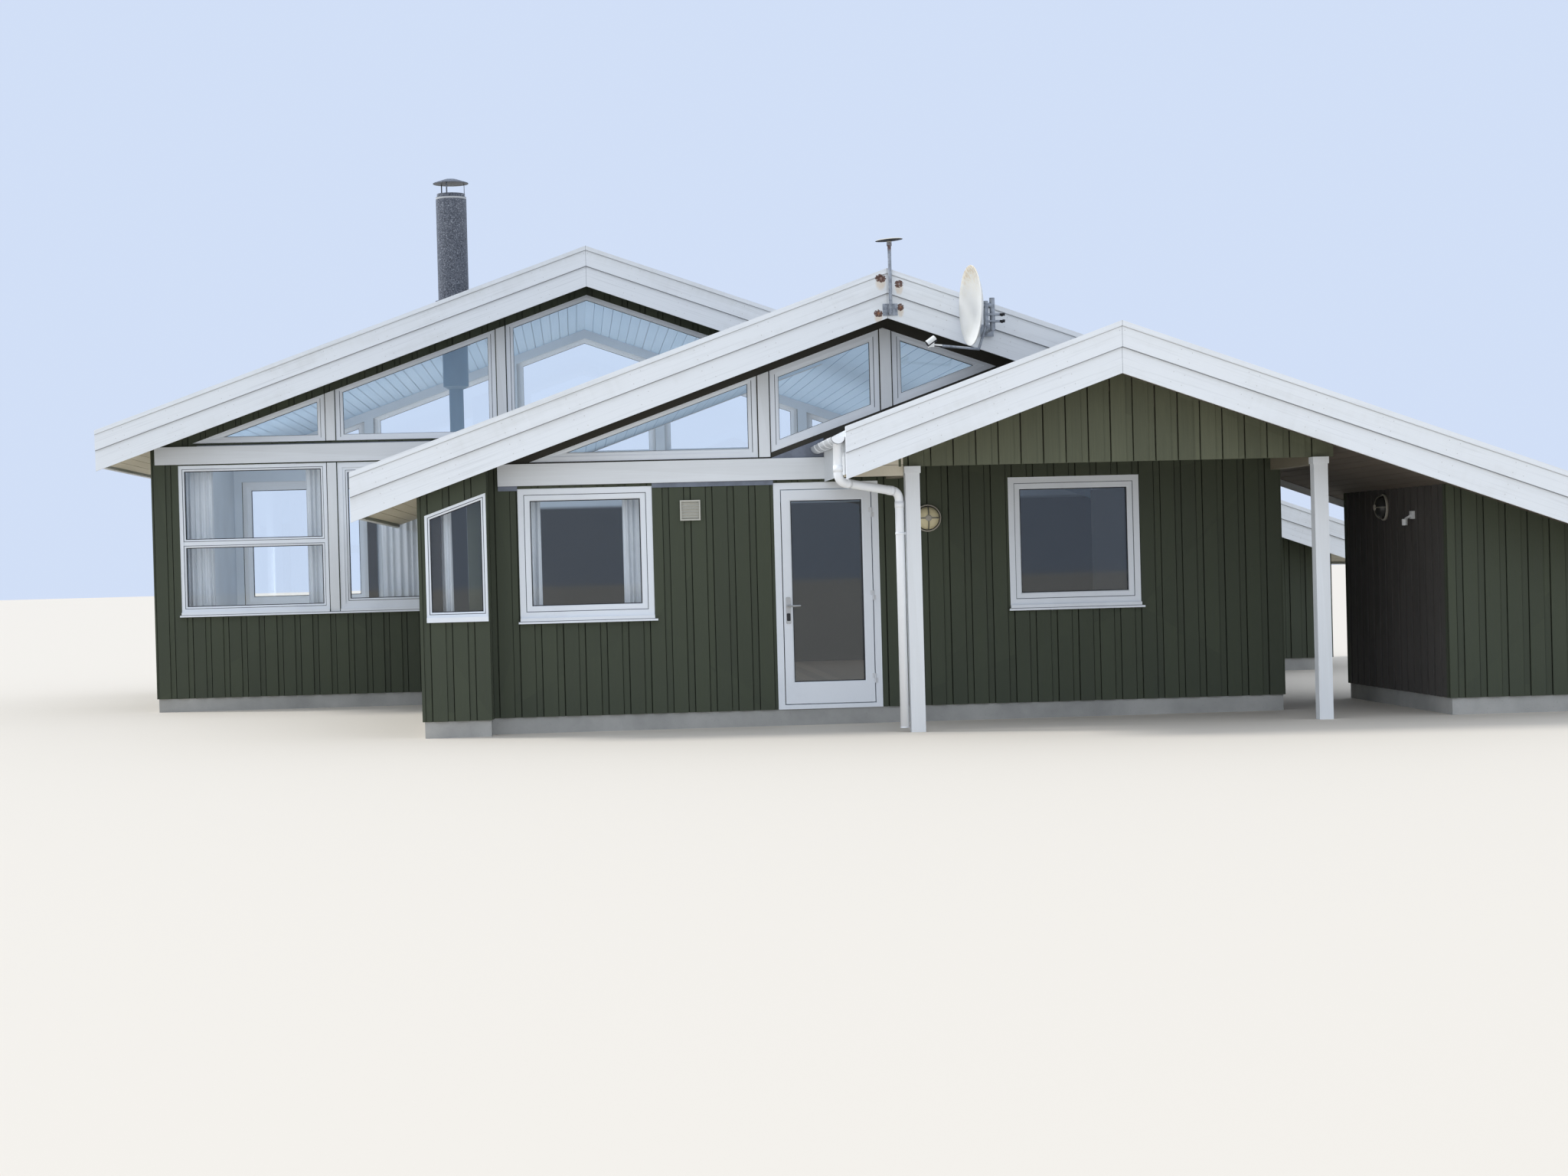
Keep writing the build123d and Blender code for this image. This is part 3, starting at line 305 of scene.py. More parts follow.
# Zinc or steel with a cloudy bloom, and rust in patches where asked
def metalFinish(name, tone, roughness, metallic=0.9, rust=0.0):
    finish = Finish(name, Metallic=metallic)
    place = finish.place()
    cloud = finish.noise(place, 9, 4, 0.65)
    fine = finish.noise(place, 90, 3, 0.6)
    tone = finish.blend(finish.fade(cloud, 0.35, 0.7, 0, 0.5), tone, tuple(0.62 * channel for channel in tone))
    if rust:
        patch = finish.fade(cloud + 0.2 * fine, 0.50, 0.62, 0, rust)
        tone = finish.blend(patch, tone, timber["rust"])
        finish.feed(finish.shader.inputs["Metallic"], metallic * (1 - patch))
    finish.colour(tone)
    finish.rough(roughness + 0.3 * fine)
    finish.relief(fine, 0.0004, 0.5)
    return finish


# Mineral roofing felt: dark chippings, weather streaks down the slope
def feltFinish(name):
    finish = Finish(name, Roughness=0.92)
    place = finish.place()
    chip = finish.noise(place, 320, 2, 0.7)
    cloud = finish.noise(finish.stretched(place, (0.35, 1.8, 1)), 1.0, 4, 0.6)
    tone = finish.ramp(chip, (0.25, (0.10, 0.103, 0.108)), (0.55, (0.21, 0.214, 0.22)), (0.8, 0.36))
    finish.colour(finish.blend(finish.fade(cloud, 0.4, 0.8, 0, 0.45), tone, (0.25, 0.25, 0.23)))
    finish.relief(chip, 0.0016, 0.7)
    return finish


# Cast concrete, cloudy and with small pores
def concreteFinish(name):
    finish = Finish(name, Roughness=0.85)
    place = finish.place()
    cloud = finish.noise(place, 1.6, 5, 0.6)
    pore = finish.noise(place, 60, 3, 0.7)
    tone = finish.ramp(cloud, (0.3, (0.30, 0.30, 0.285)), (0.75, (0.47, 0.465, 0.44)))
    finish.colour(finish.blend(finish.fade(pore, 0.6, 0.75, 0, 0.5), tone, (0.22, 0.22, 0.21)))
    finish.relief(pore, 0.002, 0.5)
    return finish


# Clear panes with a mirror share on each face that grows at a slant
def glassFinish(name):
    finish = Finish(name, Metallic=1.0, Base_Color=(0.92, 0.96, 1.0))
    smear = finish.noise(finish.place(), 1.8, 3)
    finish.rough(0.01 + 0.025 * smear)
    clear = finish.node("BsdfTransparent", sockets={"Color": (0.985, 0.995, 1.0)})
    slant = finish.node("LayerWeight", sockets={"Blend": 0.5}, out="Facing")
    glare = 0.040 + 0.80 * finish.node("Math", {"operation": "POWER"}, {0: slant, 1: 4})
    both = finish.node("MixShader", sockets={0: glare, 1: clear, 2: Wire(finish, finish.shader.outputs[0])})
    output = next(node for node in finish.tree.nodes if node.type == "OUTPUT_MATERIAL")
    finish.feed(output.inputs["Surface"], both)
    return finish


chimneyRing = {"aboveRidge": 0.797, "half": (0.009, 0.012)}  # half its height, from full to none


# Dark coat with pale grit, and one thin pale ring
def chimneyFinish(name):
    finish = Finish(name, Roughness=0.42)
    place = finish.place()
    grit = finish.noise(place, 64, 4, 0.75)
    cloud = finish.noise(place, 6, 4, 0.6)
    tone = finish.ramp(grit, (0.38, (0.030, 0.035, 0.046)), (0.56, (0.13, 0.145, 0.178)),
                       (0.70, (0.46, 0.48, 0.51)))
    tone = finish.blend(finish.fade(cloud, 0.45, 0.75, 0, 0.25), tone, (0.19, 0.20, 0.225))
    fromRing = abs(finish.parts(place)[2] - (mainRidgeTop + chimneyRing["aboveRidge"]))
    ring = finish.fade(fromRing, *chimneyRing["half"], 1, 0)
    finish.colour(finish.blend(0.8 * ring, tone, (0.55, 0.56, 0.56)))
    finish.relief(grit, 0.004, 0.8)
    return finish


dishRust = {"from": 3.80, "to": 4.14}  # heights


# Off-white dish paint with a cream tint and faint rust towards the top
def dishFinish(name):
    finish = Finish(name, Roughness=0.5)
    place = finish.place()
    x, y, z = finish.parts(place)
    patch = finish.noise(place, 26, 5, 0.7)
    cloud = finish.noise(place, 5, 3)
    high = finish.fade(z, dishRust["from"], dishRust["to"])
    tone = finish.blend(finish.fade(cloud, 0.4, 0.8, 0, 0.4), (0.80, 0.80, 0.77), (0.66, 0.65, 0.58))
    tone = finish.blend(finish.fade(patch + 0.3 * high, 0.45, 0.80, 0, 0.6) * high, tone, (0.78, 0.68, 0.47))
    tone = finish.blend(finish.fade(patch + 0.2 * high, 0.64, 0.80, 0, 0.45) * high, tone, (0.50, 0.30, 0.14))
    finish.colour(tone)
    finish.relief(patch, 0.0005, 0.4)
    return finish


# Pale woven cloth
def clothFinish(name):
    finish = Finish(name, Roughness=0.9)
    weave = finish.noise(finish.stretched(finish.place(), (500, 500, 400)), 1.0, 2)
    cloud = finish.noise(finish.place(), 3, 2)
    finish.colour(finish.blend(finish.fade(cloud, 0.3, 0.8, 0, 0.4), (0.86, 0.88, 0.90), (0.72, 0.75, 0.78)))
    finish.relief(weave, 0.0004, 0.4)
    return finish


# Where the inner walls are painted pale as light: above a height, left of an x and behind a y
paintedInnerLight = {"above": (2.30, 2.36), "leftOf": (-3.48, -3.40), "behind": 0.3}


# Walls inside: pale in the rear room's left corner and above the lower windows as painted light, dark elsewhere
# as painted shade
def innerWallLightAndShade(name):
    finish = Finish(name, Roughness=0.8)
    place = finish.place()
    x, y, z = finish.parts(place)
    upper = finish.fade(z, *paintedInnerLight["above"])
    corner = finish.fade(x, *paintedInnerLight["leftOf"], 1, 0) * (y > paintedInnerLight["behind"])
    pale = finish.node("Math", {"operation": "MAXIMUM"}, {0: upper, 1: corner})
    cloud = finish.noise(place, 1.5, 3)
    tone = finish.blend(pale, timber["insideWall"], timber["insidePaintedLight"])
    finish.colour(finish.blend(0.25 * cloud, tone, timber["brown"]))
    return finish


floorBoard = 0.14


# Cast slab outside, with a boarded floor on its upper face
def slabFinish(name):
    finish = concreteFinish(name)
    place = finish.place()
    x, y, z = finish.parts(place)
    board = finish.random(finish.node("Math", {"operation": "FLOOR"}, {0: x / floorBoard}))
    grain = finish.noise(finish.stretched(place, (60, 2, 60)), 1.0, 4)
    wood = finish.blend(0.5 * board + 0.4 * grain, timber["floorWood"], (0.26, 0.17, 0.10))
    finish.colour(finish.blend(finish.facesUp(0.5), finish.colourNow(), wood))
    return finish


sensorFrom = 3.0  # x between the vent and the sensor


# Vent by the door in beige, and the small sensor in white
def fittingFinish(name):
    finish = paintFinish(name, (0.52, 0.51, 0.45), 0.3, 0.45)
    x, y, z = finish.parts(finish.place())
    finish.colour(finish.blend(x > sensorFrom, finish.colourNow(), (0.74, 0.75, 0.74)))
    return finish


mast = {"plasticFrom": (mainRidgeTop - 0.728, mainRidgeTop - 0.724),
        "rustAt": (2.713, -6.46, mainRidgeTop - 0.76)}
carrier = {"plasticFrom": (-3.12, -3.11)}  # counted to the left


# Aerials: galvanized steel, plastic from a height or a place on with its underside painted dark as shade, rust
# where asked
def aerialFinish(name, split, plasticFrom, plasticTone, rustAt=None):
    finish = Finish(name)
    place = finish.place()
    x, y, z = finish.parts(place)
    cloud = finish.noise(place, 22, 4, 0.65)
    fine = finish.noise(place, 120, 3, 0.6)
    metal = finish.blend(finish.fade(cloud, 0.35, 0.7), (0.42, 0.45, 0.49), (0.24, 0.26, 0.29))
    plastic = finish.fade(z if split == "z" else -1 * x, *plasticFrom)
    # Painted shade: plastic faces that look downwards are near black
    tone = finish.blend(plastic, metal, finish.blend(finish.facesUp(-0.3), (0.03, 0.03, 0.035), plasticTone))
    metallic = 0.7 * (1 - plastic)
    if rustAt:
        far = finish.node("VectorMath", {"operation": "DISTANCE"}, {0: place, 1: rustAt}, out="Value")
        rust = finish.fade(far, 0.03, 0.06, 1, 0) * finish.fade(cloud + 0.3 * fine, 0.42, 0.58) * (1 - plastic)
        tone = finish.blend(0.9 * rust, tone, timber["rustDark"])
        metallic = metallic * (1 - rust)
    finish.colour(tone)
    finish.feed(finish.shader.inputs["Metallic"], metallic)
    finish.rough(0.38 + 0.3 * fine)
    finish.relief(fine, 0.0004, 0.5)
    return finish


finishes = {
    "green": boardFinish("greenBoards", timber["greenDark"], timber["green"], spread=0.22),
    "greenPale": boardFinish("paleGreenBoards", (0.090, 0.098, 0.060), (0.165, 0.175, 0.110), spread=0.16),
    "shedBoards": boardFinish("darkShedBoards", (0.060, 0.056, 0.050), timber["shed"]),
    # Dark boards: a dark stain with painted shade under the gable overhangs, and painted shade alone on the
    # middle gable wall
    "dark": boardFinish("darkBoardsStainAndShade", timber["brownStainAndShade"], (0.046, 0.042, 0.030), "x"),
    "brown": boardFinish("brownCeilingBoards", timber["brown"], (0.15, 0.12, 0.09), "y"),
    "cream": boardFinish("creamSoffitBoards", timber["cream"], (0.80, 0.75, 0.62), "y"),
    "beam": boardFinish("creamBeams", (0.20, 0.175, 0.13), (0.28, 0.25, 0.185), "y"),
    # Ceiling boards inside: white tinted blue, the blue painted in as sky light
    "inside": boardFinish("insideCeilingBoardsSkyTinted", timber["insideSkyTintedWhite"], (0.54, 0.71, 0.90), "y"),
    "insideWall": innerWallLightAndShade("insideWallPaintedLightAndShade"),
    "boardWhite": boardFinish("whiteBoards", (0.70, 0.72, 0.73), timber["white"], "x"),
    "postWhite": boardFinish("whitePosts", (0.72, 0.74, 0.75), timber["white"]),
    "frame": paintFinish("windowPaint", (0.81, 0.845, 0.885), 0.2),
    "plastic": paintFinish("whitePlastic", (0.90, 0.92, 0.94), 0.15, 0.3),
    "fittings": fittingFinish("ventAndSensorPlastic"),
    "lampGlass": paintFinish("creamLampGlass", (0.72, 0.64, 0.40), 0.25, 0.18),
    # Lamp glass painted dark as shade, for the lamp that looks left
    "lampGlassShaded": paintFinish("shadedLampGlass", (0.035, 0.035, 0.033), 0.25, 0.18),
    "lampRim": paintFinish("brownLampRim", (0.40, 0.37, 0.31), 0.4, 0.35),
    "lampGuard": paintFinish("brownLampGuard", (0.16, 0.15, 0.115), 0.4, 0.35),
    "shadow": paintFinish("shadowGap", (0.10, 0.11, 0.125), 0.2, 0.7),
    "hinge": paintFinish("whiteHinge", (0.70, 0.72, 0.74), 0.3, 0.35),
    "knob": paintFinish("blackKnob", (0.02, 0.02, 0.022), 0.2, 0.4),
    "mast": aerialFinish("mastSteel", "z", mast["plasticFrom"], (0.66, 0.63, 0.54), mast["rustAt"]),
    "carrier": aerialFinish("dishCarrierSteel", "x", carrier["plasticFrom"], (0.78, 0.78, 0.75)),
    "rubber": paintFinish("blackGasket", (0.025, 0.027, 0.030), 0.2, 0.6),
    "zinc": metalFinish("zincStrip", (0.21, 0.235, 0.285), 0.45, metallic=0.4),
    "rusty": metalFinish("rustySteel", (0.40, 0.42, 0.44), 0.5, metallic=0.8, rust=0.9),
    "handle": metalFinish("handleSteel", (0.55, 0.55, 0.54), 0.25),
    "felt": feltFinish("roofFelt"),
    "concrete": slabFinish("castSlab"),
    "glass": glassFinish("clearPane"),
    "chimney": chimneyFinish("chimneyCoat"),
    "flue": paintFinish("bluishFlue", (0.26, 0.37, 0.48), 0.2, 0.5),
    "dish": dishFinish("dishPaint"),
    "cloth": clothFinish("curtainCloth"),
    "rear": bargeFinish("rearBargePaint", "rear"),
    "middle": bargeFinish("middleBargePaint", "middle", boltRust),
    "porch": bargeFinish("porchBargePaint", "porch"),
}
print("finishes made")


# The mesh of a CAD node, welded
def nodeShape(name):
    shape = bmesh.new()
    shape.from_mesh(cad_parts[name].data)
    bmesh.ops.remove_doubles(shape, verts=shape.verts, dist=1e-5)
    return shape


# Each solid of a shape as a shape of its own
def islands(shape):
    left = set(shape.verts)
    groups = []
    while left:
        seed = left.pop()
        group, edge = {seed}, [seed]
        while edge:
            for link in edge.pop().link_edges:
                for vert in link.verts:
                    if vert in left:
                        left.discard(vert)
                        group.add(vert)
                        edge.append(vert)
        groups.append(group)
    solids = []
    for group in groups:
        solid = shape.copy()
        keep = {vert.index for vert in group}
        solid.verts.ensure_lookup_table()
        bmesh.ops.delete(solid, geom=[vert for vert in solid.verts if vert.index not in keep], context="VERTS")
        solids.append(solid)
    return sorted(solids, key=lowCorner)


# Rounded, so that solids that start in line stay in one order at every run
def lowCorner(solid):
    return [round(min(vert.co[i] for vert in solid.verts), 4) for i in range(3)]


# Cuts off what lies beyond a plane and closes the cut
def trim(shape, normal, offset):
    normal = Vector(normal)
    geometry = shape.verts[:] + shape.edges[:] + shape.faces[:]
    made = bmesh.ops.bisect_plane(shape, geom=geometry, dist=1e-6, plane_co=normal * offset, plane_no=normal,
                                  clear_outer=True)
    edges = [item for item in made["geom_cut"] if isinstance(item, bmesh.types.BMEdge) and item.is_boundary]
    if edges:
        bmesh.ops.triangle_fill(shape, use_beauty=True, use_dissolve=False, edges=edges, normal=normal)
    return shape


# A copy of what lies between two offsets along a direction
def between(shape, normal, low, high):
    normal = Vector(normal)
    part = shape.copy()
    trim(part, normal, high)
    return trim(part, -normal, -low)


# How far a shape reaches along a direction
def span(shape, normal):
    offsets = [Vector(normal).dot(vert.co) for vert in shape.verts]
    return (min(offsets), max(offsets)) if offsets else (0, 0)


sawn = {"least": 0.012, "wobble": 0.0012}  # the narrowest board, and how far its edges stray


# Slices a shape into boards of one width at even steps, and adds them to the target
def strips(shape, direction, step, width, start, finishIndex, target):
    low, high = span(shape, direction)
    count = 0
    centre = start + math.floor((low - start) / step) * step
    while centre - width / 2 < high:
        lo, hi = max(low, centre - width / 2), min(high, centre + width / 2)
        if hi - lo > sawn["least"]:
            wobble = random.uniform(-sawn["wobble"], sawn["wobble"])
            part = shape.copy()
            if lo > low + 1e-4:
                trim(part, -Vector(direction), -(lo + wobble))
            if hi < high - 1e-4:
                trim(part, Vector(direction), hi + wobble)
            if part.faces:
                addTo(target, part, finishIndex)
                count += 1
            else:
                part.free()
        centre += step
    return count


# Joins a part to the target in one finish, but in the second on faces that look the outer ways
def addTo(target, part, finishIndex, outer=()):
    bmesh.ops.recalc_face_normals(part, faces=part.faces)
    for face in part.faces:
        face.material_index = 1 if any(face.normal.dot(way) > 0.9 for way in outer) else finishIndex
    mesh = bpy.data.meshes.new("part")
    part.to_mesh(mesh)
    part.free()
    target.from_mesh(mesh)
    bpy.data.meshes.remove(mesh)


# Makes an object of a shape, with its finishes, body and the nodes that it stands for
def piece(name, shape, looks, body="house", stands=(), smooth=False):
    mesh = bpy.data.meshes.new(name)
    shape.to_mesh(mesh)
    shape.free()
    for look in looks:
        mesh.materials.append(finishes[look].material)
    if smooth:
        mesh.polygons.foreach_set("use_smooth", [True] * len(mesh.polygons))
    made = bpy.data.objects.new(name, mesh)
    bpy.context.collection.objects.link(made)
    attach(made, body)
    if stands:
        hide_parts(*stands)
    return made


# The way that a thin upright solid looks: to the left, or else forwards or backwards
def facing(solid, forwards=-1):
    wide, deep = (span(solid, axis)[1] - span(solid, axis)[0] for axis in ((1, 0, 0), (0, 1, 0)))
    return Vector((-1, 0, 0) if wide < deep else (0, forwards, 0))


# Faces between closed rows of as many points
def bridge(shape, rows, finishIndex=0, smooth=False):
    for lower, upper in zip(rows, rows[1:]):
        for i in range(len(lower)):
            face = shape.faces.new((lower[i - 1], lower[i], upper[i], upper[i - 1]))
            face.material_index = finishIndex
            face.smooth = smooth


# Cladding: wide boards nailed over narrower gaps, board on board
cladding = {"step": 0.2, "over": 0.132, "under": 0.055, "thick": 0.022, "recess": 0.010, "start": 0.137,
            "shift": -0.0015, "gableStart": -0.010, "gableShift": -0.0042}
wallSkins = {
    "rear_front_wall": ["-y", "-x"], "back_wall": ["y", "-x", "x"], "side_walls": ["-x", "x"],
    "wing_front_wall": ["-y", "x"], "bay_wall": ["-y", "-x", "x"], "middle_front_wall": ["-y"],
    "wall_over_door": ["-y"], "porch_wall": ["-y", "x"], "shed_end_walls": ["-y", "y", "-x", "x"],
    "shed_side_walls": ["-x", "x"],
}
outerFaces = {
    "x": [plan[wall] for wall in ("blockRight", "wingRight", "bayRight")],
    "-x": [-plan[wall] for wall in ("rearLeft", "middleLeft", "shedLeft")],
    "y": [plan[wall] for wall in ("back", "shedBack")],
    "-y": [-plan[wall] for wall in ("rearFront", "wingFront", "middleFront", "bayFront", "porchLine")],
}
directions = {"x": Vector((1, 0, 0)), "-x": Vector((-1, 0, 0)), "y": Vector((0, 1, 0)), "-y": Vector((0, -1, 0))}


def cladWalls():
    thick, step, start = cladding["thick"], cladding["step"], cladding["start"]
    for name, skins in wallSkins.items():
        target = bmesh.new()
        count = 0
        for solid in islands(nodeShape(name)):
            outer = []
            for skin in skins:
                normal = directions[skin]
                face = span(solid, normal)[1]
                if not any(abs(face - offset) < 0.002 for offset in outerFaces[skin]):
                    continue
                side = Vector((0, 1, 0)) if skin.strip("-") == "x" else Vector((1, 0, 0))
                over = between(solid, normal, face - thick, face + 1)
                under = between(solid, normal, face - 2 * thick, face - cladding["recess"])
                trim(solid, normal, face - 2 * thick)
                outer.append(normal)
                count += strips(over, side, step, cladding["over"], start, 1, target)
                behind = start + step / 2 + cladding["shift"]
                count += strips(under, side, step, cladding["under"], behind, 1, target)
                over.free()
                under.free()
            addTo(target, solid, 0, outer)
        boards = "shedBoards" if name == "shed_side_walls" else "green"
        piece(name + "_boarded", target, ["insideWall", boards], stands=[name])
        print(name, count, "boards")


cladWalls()


# The boarded triangle over the porch posts
def gableBoards():
    target = bmesh.new()
    solid = nodeShape("porch_gable")
    low, high = span(solid, (0, -1, 0))
    step = cladding["step"]
    half = step / 2 + cladding["gableShift"]
    for recess, shift, width in ((0.0, 0.0, cladding["over"]), (cladding["recess"], half, cladding["under"])):
        layer = between(solid, (0, -1, 0), low, high - recess)
        strips(layer, (1, 0, 0), step, width, cladding["gableStart"] + shift, 0, target)
        layer.free()
    solid.free()
    piece("porch_gable_boards", target, ["greenPale"], stands=["porch_gable"])


gableBoards()

# Roofs: felt laps on top, boards below, by region
roofing = {"felt": 0.006, "roll": 0.94, "lap": 0.004, "board": 0.015, "boardStep": 0.118, "boardWidth": 0.113}
limits = {  # where regions end: at walls and ridges, at the passage, or somewhere beyond an edge of the roof
    **plan, "rearRidge": ridges["rear"], "middleRidge": ridges["middle"], "porchRidge": ridges["porch"],
    "passage": 6.95, "left": -9, "right": 10, "front": -9, "behind": 9, "rearEdge": -1, "middleEdge": -7,
    "wingEdge": 1, "porchBack": -3,
}
slabs = {  # the slope's normal, then each region with its left, right, front and back, the boards' run and look
    # Regions that take the dark boards lie under the gable overhangs, where their darkness is stain and painted
    # shade
    "rear_roof_left": ((-rise, 0, run), [
        (("left", "rearRidge", "front", "rearFront"), "x", "dark"),
        (("left", "rearRidge", "back", "behind"), "x", "dark"),
        (("left", "rearLeft", "rearFront", "back"), "y", "cream"),
        (("rearLeft", "rearRidge", "rearFront", "back"), "y", "inside")]),
    "middle_roof_left": ((-rise, 0, run), [
        (("left", "middleLeft", "front", "rearFront"), "y", "cream"),
        (("middleLeft", "right", "front", "middleFront"), "x", "dark"),
        (("middleLeft", "right", "middleFront", "behind"), "y", "inside")]),
    "porch_roof_left": ((-rise, 0, run), [(("left", "right", "front", "behind"), "y", "brown")]),
    "right_roof_slope": ((rise, 0, run), [
        (("rearRidge", "middleRidge", "rearEdge", "rearFront"), "x", "dark"),
        (("middleRidge", "porchRidge", "middleEdge", "middleFront"), "x", "dark"),
        (("porchRidge", "passage", "front", "middleFront"), "y", "brown"),
        (("blockRight", "passage", "middleFront", "wingFront"), "y", "brown"),
        (("passage", "right", "front", "porchBack"), "y", "brown"),
        (("passage", "right", "wingEdge", "wingFront"), "x", "dark"),
        (("wingRight", "right", "wingFront", "back"), "y", "cream"),
        (("left", "right", "back", "behind"), "x", "dark"),
        (("rearRidge", "middleRidge", "rearFront", "back"), "y", "inside"),
        (("middleRidge", "blockRight", "middleFront", "back"), "y", "inside"),
        (("blockRight", "wingRight", "wingFront", "back"), "y", "inside")]),
}


def coverRoofs():
    looks = ["insideWall", "felt", "dark", "brown", "cream", "inside"]
    for name, (normal, regions) in slabs.items():
        solid = nodeShape(name)
        low, high = span(solid, normal)
        target = bmesh.new()
        feltLow = high - roofing["felt"]
        top = between(solid, normal, feltLow, high + 1)
        below = between(solid, normal, low - 1, low + roofing["board"])
        trim(solid, normal, feltLow)
        trim(solid, -Vector(normal), -(low + roofing["board"]))
        addTo(target, solid, 0)
        downhill = Vector((normal[2] * (1 if normal[0] > 0 else -1), 0, -abs(normal[0])))
        start, end = span(top, downhill)
        while start < end:
            sheet = between(top, downhill, start, min(end, start + roofing["roll"]))
            for vert in sheet.verts:
                share = (downhill.dot(vert.co) - start) / roofing["roll"]
                if Vector(normal).dot(vert.co) > high - 1e-4:
                    vert.co += Vector(normal) * roofing["lap"] * share
            if sheet.faces:
                addTo(target, sheet, 1)
            start += roofing["roll"]
        top.free()
        for ends, along, look in regions:
            x0, x1, y0, y1 = (limits[edge] for edge in ends)
            part = between(between(below, (1, 0, 0), x0, x1), (0, 1, 0), y0, y1)
            if not part.faces:
                continue
            across = (0, 1, 0) if along == "x" else (normal[2], 0, -normal[0])
            strips(part, across, roofing["boardStep"], roofing["boardWidth"], 0.0, looks.index(look), target)
            part.free()
        below.free()
        piece(name + "_covered", target, looks, stands=[name])
    print("roofs covered")


coverRoofs()

# CAD nodes that keep their own shape, by finish
dressed = {
    "rear": ["rear_bargeboards", "back_bargeboards"], "middle": ["middle_bargeboards"],
    "porch": ["porch_bargeboards"], "boardWhite": ["transom_boards", "eave_fascias"],
    # The middle gable wall takes the dark boards as painted shade
    "postWhite": ["porch_posts"], "beam": ["porch_beams"], "dark": ["middle_gable_wall"],
    "glass": ["front_window_glass", "back_window_glass", "door_glass"],
    "frame": ["rear_window_frames", "back_window_frames", "gable_window_frames", "front_window_frames",
              "side_window_frames", "door_frame", "front_door"],
    "chimney": ["chimney", "chimney_cap", "chimney_collar"], "flue": ["stove_flue"],
    "hinge": ["door_hinges", "door_hinge_leaves"], "handle": ["door_handle", "handle_plate"],
    "mast": ["antenna_mast"], "carrier": ["dish_bracket"], "fittings": ["wall_fittings"],
    "zinc": ["wall_flashings"], "concrete": ["floor"],
}
for look, nodes in dressed.items():
    for node in nodes:
        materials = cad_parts[node].data.materials
        materials.clear()
        materials.append(finishes[look].material)
print("nodes dressed")


# Glazing: a sloped bead and a dark gasket round every pane, and a thin shadow line round its sash
glazing = {
    "panes": {"front_window_glass": "house", "back_window_glass": "house", "door_glass": "front_door"},
    "bead": [(0.0, 0.021), (0.010, 0.016), (0.012, 0.0)],  # inset and height of each edge of a profile
    "gasket": [(0.011, 0.007), (0.019, 0.005), (0.019, -0.001)],
    "lightGasket": [(0.011, 0.007), (0.014, 0.005), (0.014, -0.001)],
    "lightsAbove": 2.3, "rearAbove": 2.9, "line": 0.006, "lineOut": 0.0226,
    "sash": 0.045, "fixedSash": 0.014, "fixedLeftOf": -1.7, "baySash": 0.010, "bayLeftOf": -0.9,
    "lightSash": 0.027, "rearHead": 0.583, "rearFoot": 0.79,
    "heads": [(1.6, 0.36), (2.7, 0.944), (9.0, 0.625)],  # up to this x, the head's share of the sash
}


# A convex loop moved inwards, each edge (from the corner before) by its own inset
def insetLoop(points, insets):
    count = len(points)
    if not isinstance(insets, list):
        insets = [insets] * count
    moved = []
    for i, point in enumerate(points):
        before, after = (point - points[i - 1]).normalized(), (points[(i + 1) % count] - point).normalized()
        first, second = Vector((-before[1], before[0])), Vector((-after[1], after[0]))
        shared = first.dot(second)
        here, following = insets[i], insets[(i + 1) % count]
        whole = max(1 - shared * shared, 1e-6)
        shift = first * (here - shared * following) + second * (following - shared * here)
        moved.append(point + shift / whole)
    return moved


# The corners of a pane's outer face, counter-clockwise in its own plane
def paneLoop(solid, outward):
    side = Vector((0, 0, 1)).cross(outward)
    face = span(solid, outward)[1]
    flat = {}
    for vert in solid.verts:
        if outward.dot(vert.co) > face - 1e-4:
            flat[(round(side.dot(vert.co), 4), round(vert.co.z, 4))] = None
    points = [Vector(point) for point in flat]
    centre = sum(points, Vector((0, 0))) / len(points)
    points.sort(key=lambda point: math.atan2(point.y - centre.y, point.x - centre.x))
    return points, side, face


# Points of a pane's own plane, set out from the house by a distance
def setOut(points, side, outward, distance):
    return [side * point.x + Vector((0, 0, point.y)) + outward * distance for point in points]


# A profile carried round the outer face of a pane
def ring(shape, solid, outward, profile, finishIndex):
    points, side, face = paneLoop(solid, outward)
    rows = [[shape.verts.new(corner) for corner in setOut(insetLoop(points, inset), side, outward, face + out)]
            for inset, out in profile]
    bridge(shape, rows, finishIndex)


# How wide the sash is beside each edge of a pane, edge by edge
def sashWidths(points, node):
    centre = sum(points, Vector((0, 0))) / len(points)
    low = min(point.y for point in points)
    if low < glazing["lightsAbove"]:
        plain = glazing["sash"]
        if node.startswith("front") and centre.x < glazing["fixedLeftOf"]:
            plain = glazing["fixedSash"]
        elif node.startswith("front") and centre.x < glazing["bayLeftOf"]:
            plain = glazing["baySash"]
        return [plain] * len(points)
    rear = low > glazing["rearAbove"]
    head = glazing["rearHead"] if rear else next(share for right, share in glazing["heads"] if centre.x < right)
    widths = []
    for i, point in enumerate(points):
        way = (point - points[i - 1]).normalized()
        share = 1.0
        if way.x < -0.3:  # an edge that runs to the left is the head
            share = head
        elif rear and abs(way.y) < 0.01:
            share = glazing["rearFoot"]
        widths.append(glazing["lightSash"] * share)
    return widths


# A shadow line round the sash of a window, and beside the upright sides of a light
def sashLine(target, solid, outward, node, light):
    points, side, face = paneLoop(solid, outward)
    widths = sashWidths(points, node)
    face += glazing["lineOut"]
    rows = []
    for inset in (0, glazing["line"]):
        loop = setOut(insetLoop(points, [inset - width for width in widths]), side, outward, face)
        rows.append([target.verts.new(corner) for corner in loop])
    outer, inner = rows
    for i in range(len(points)):
        if not light or abs((points[i] - points[i - 1]).x) < 0.01:
            target.faces.new((outer[i - 1], outer[i], inner[i], inner[i - 1])).material_index = 2


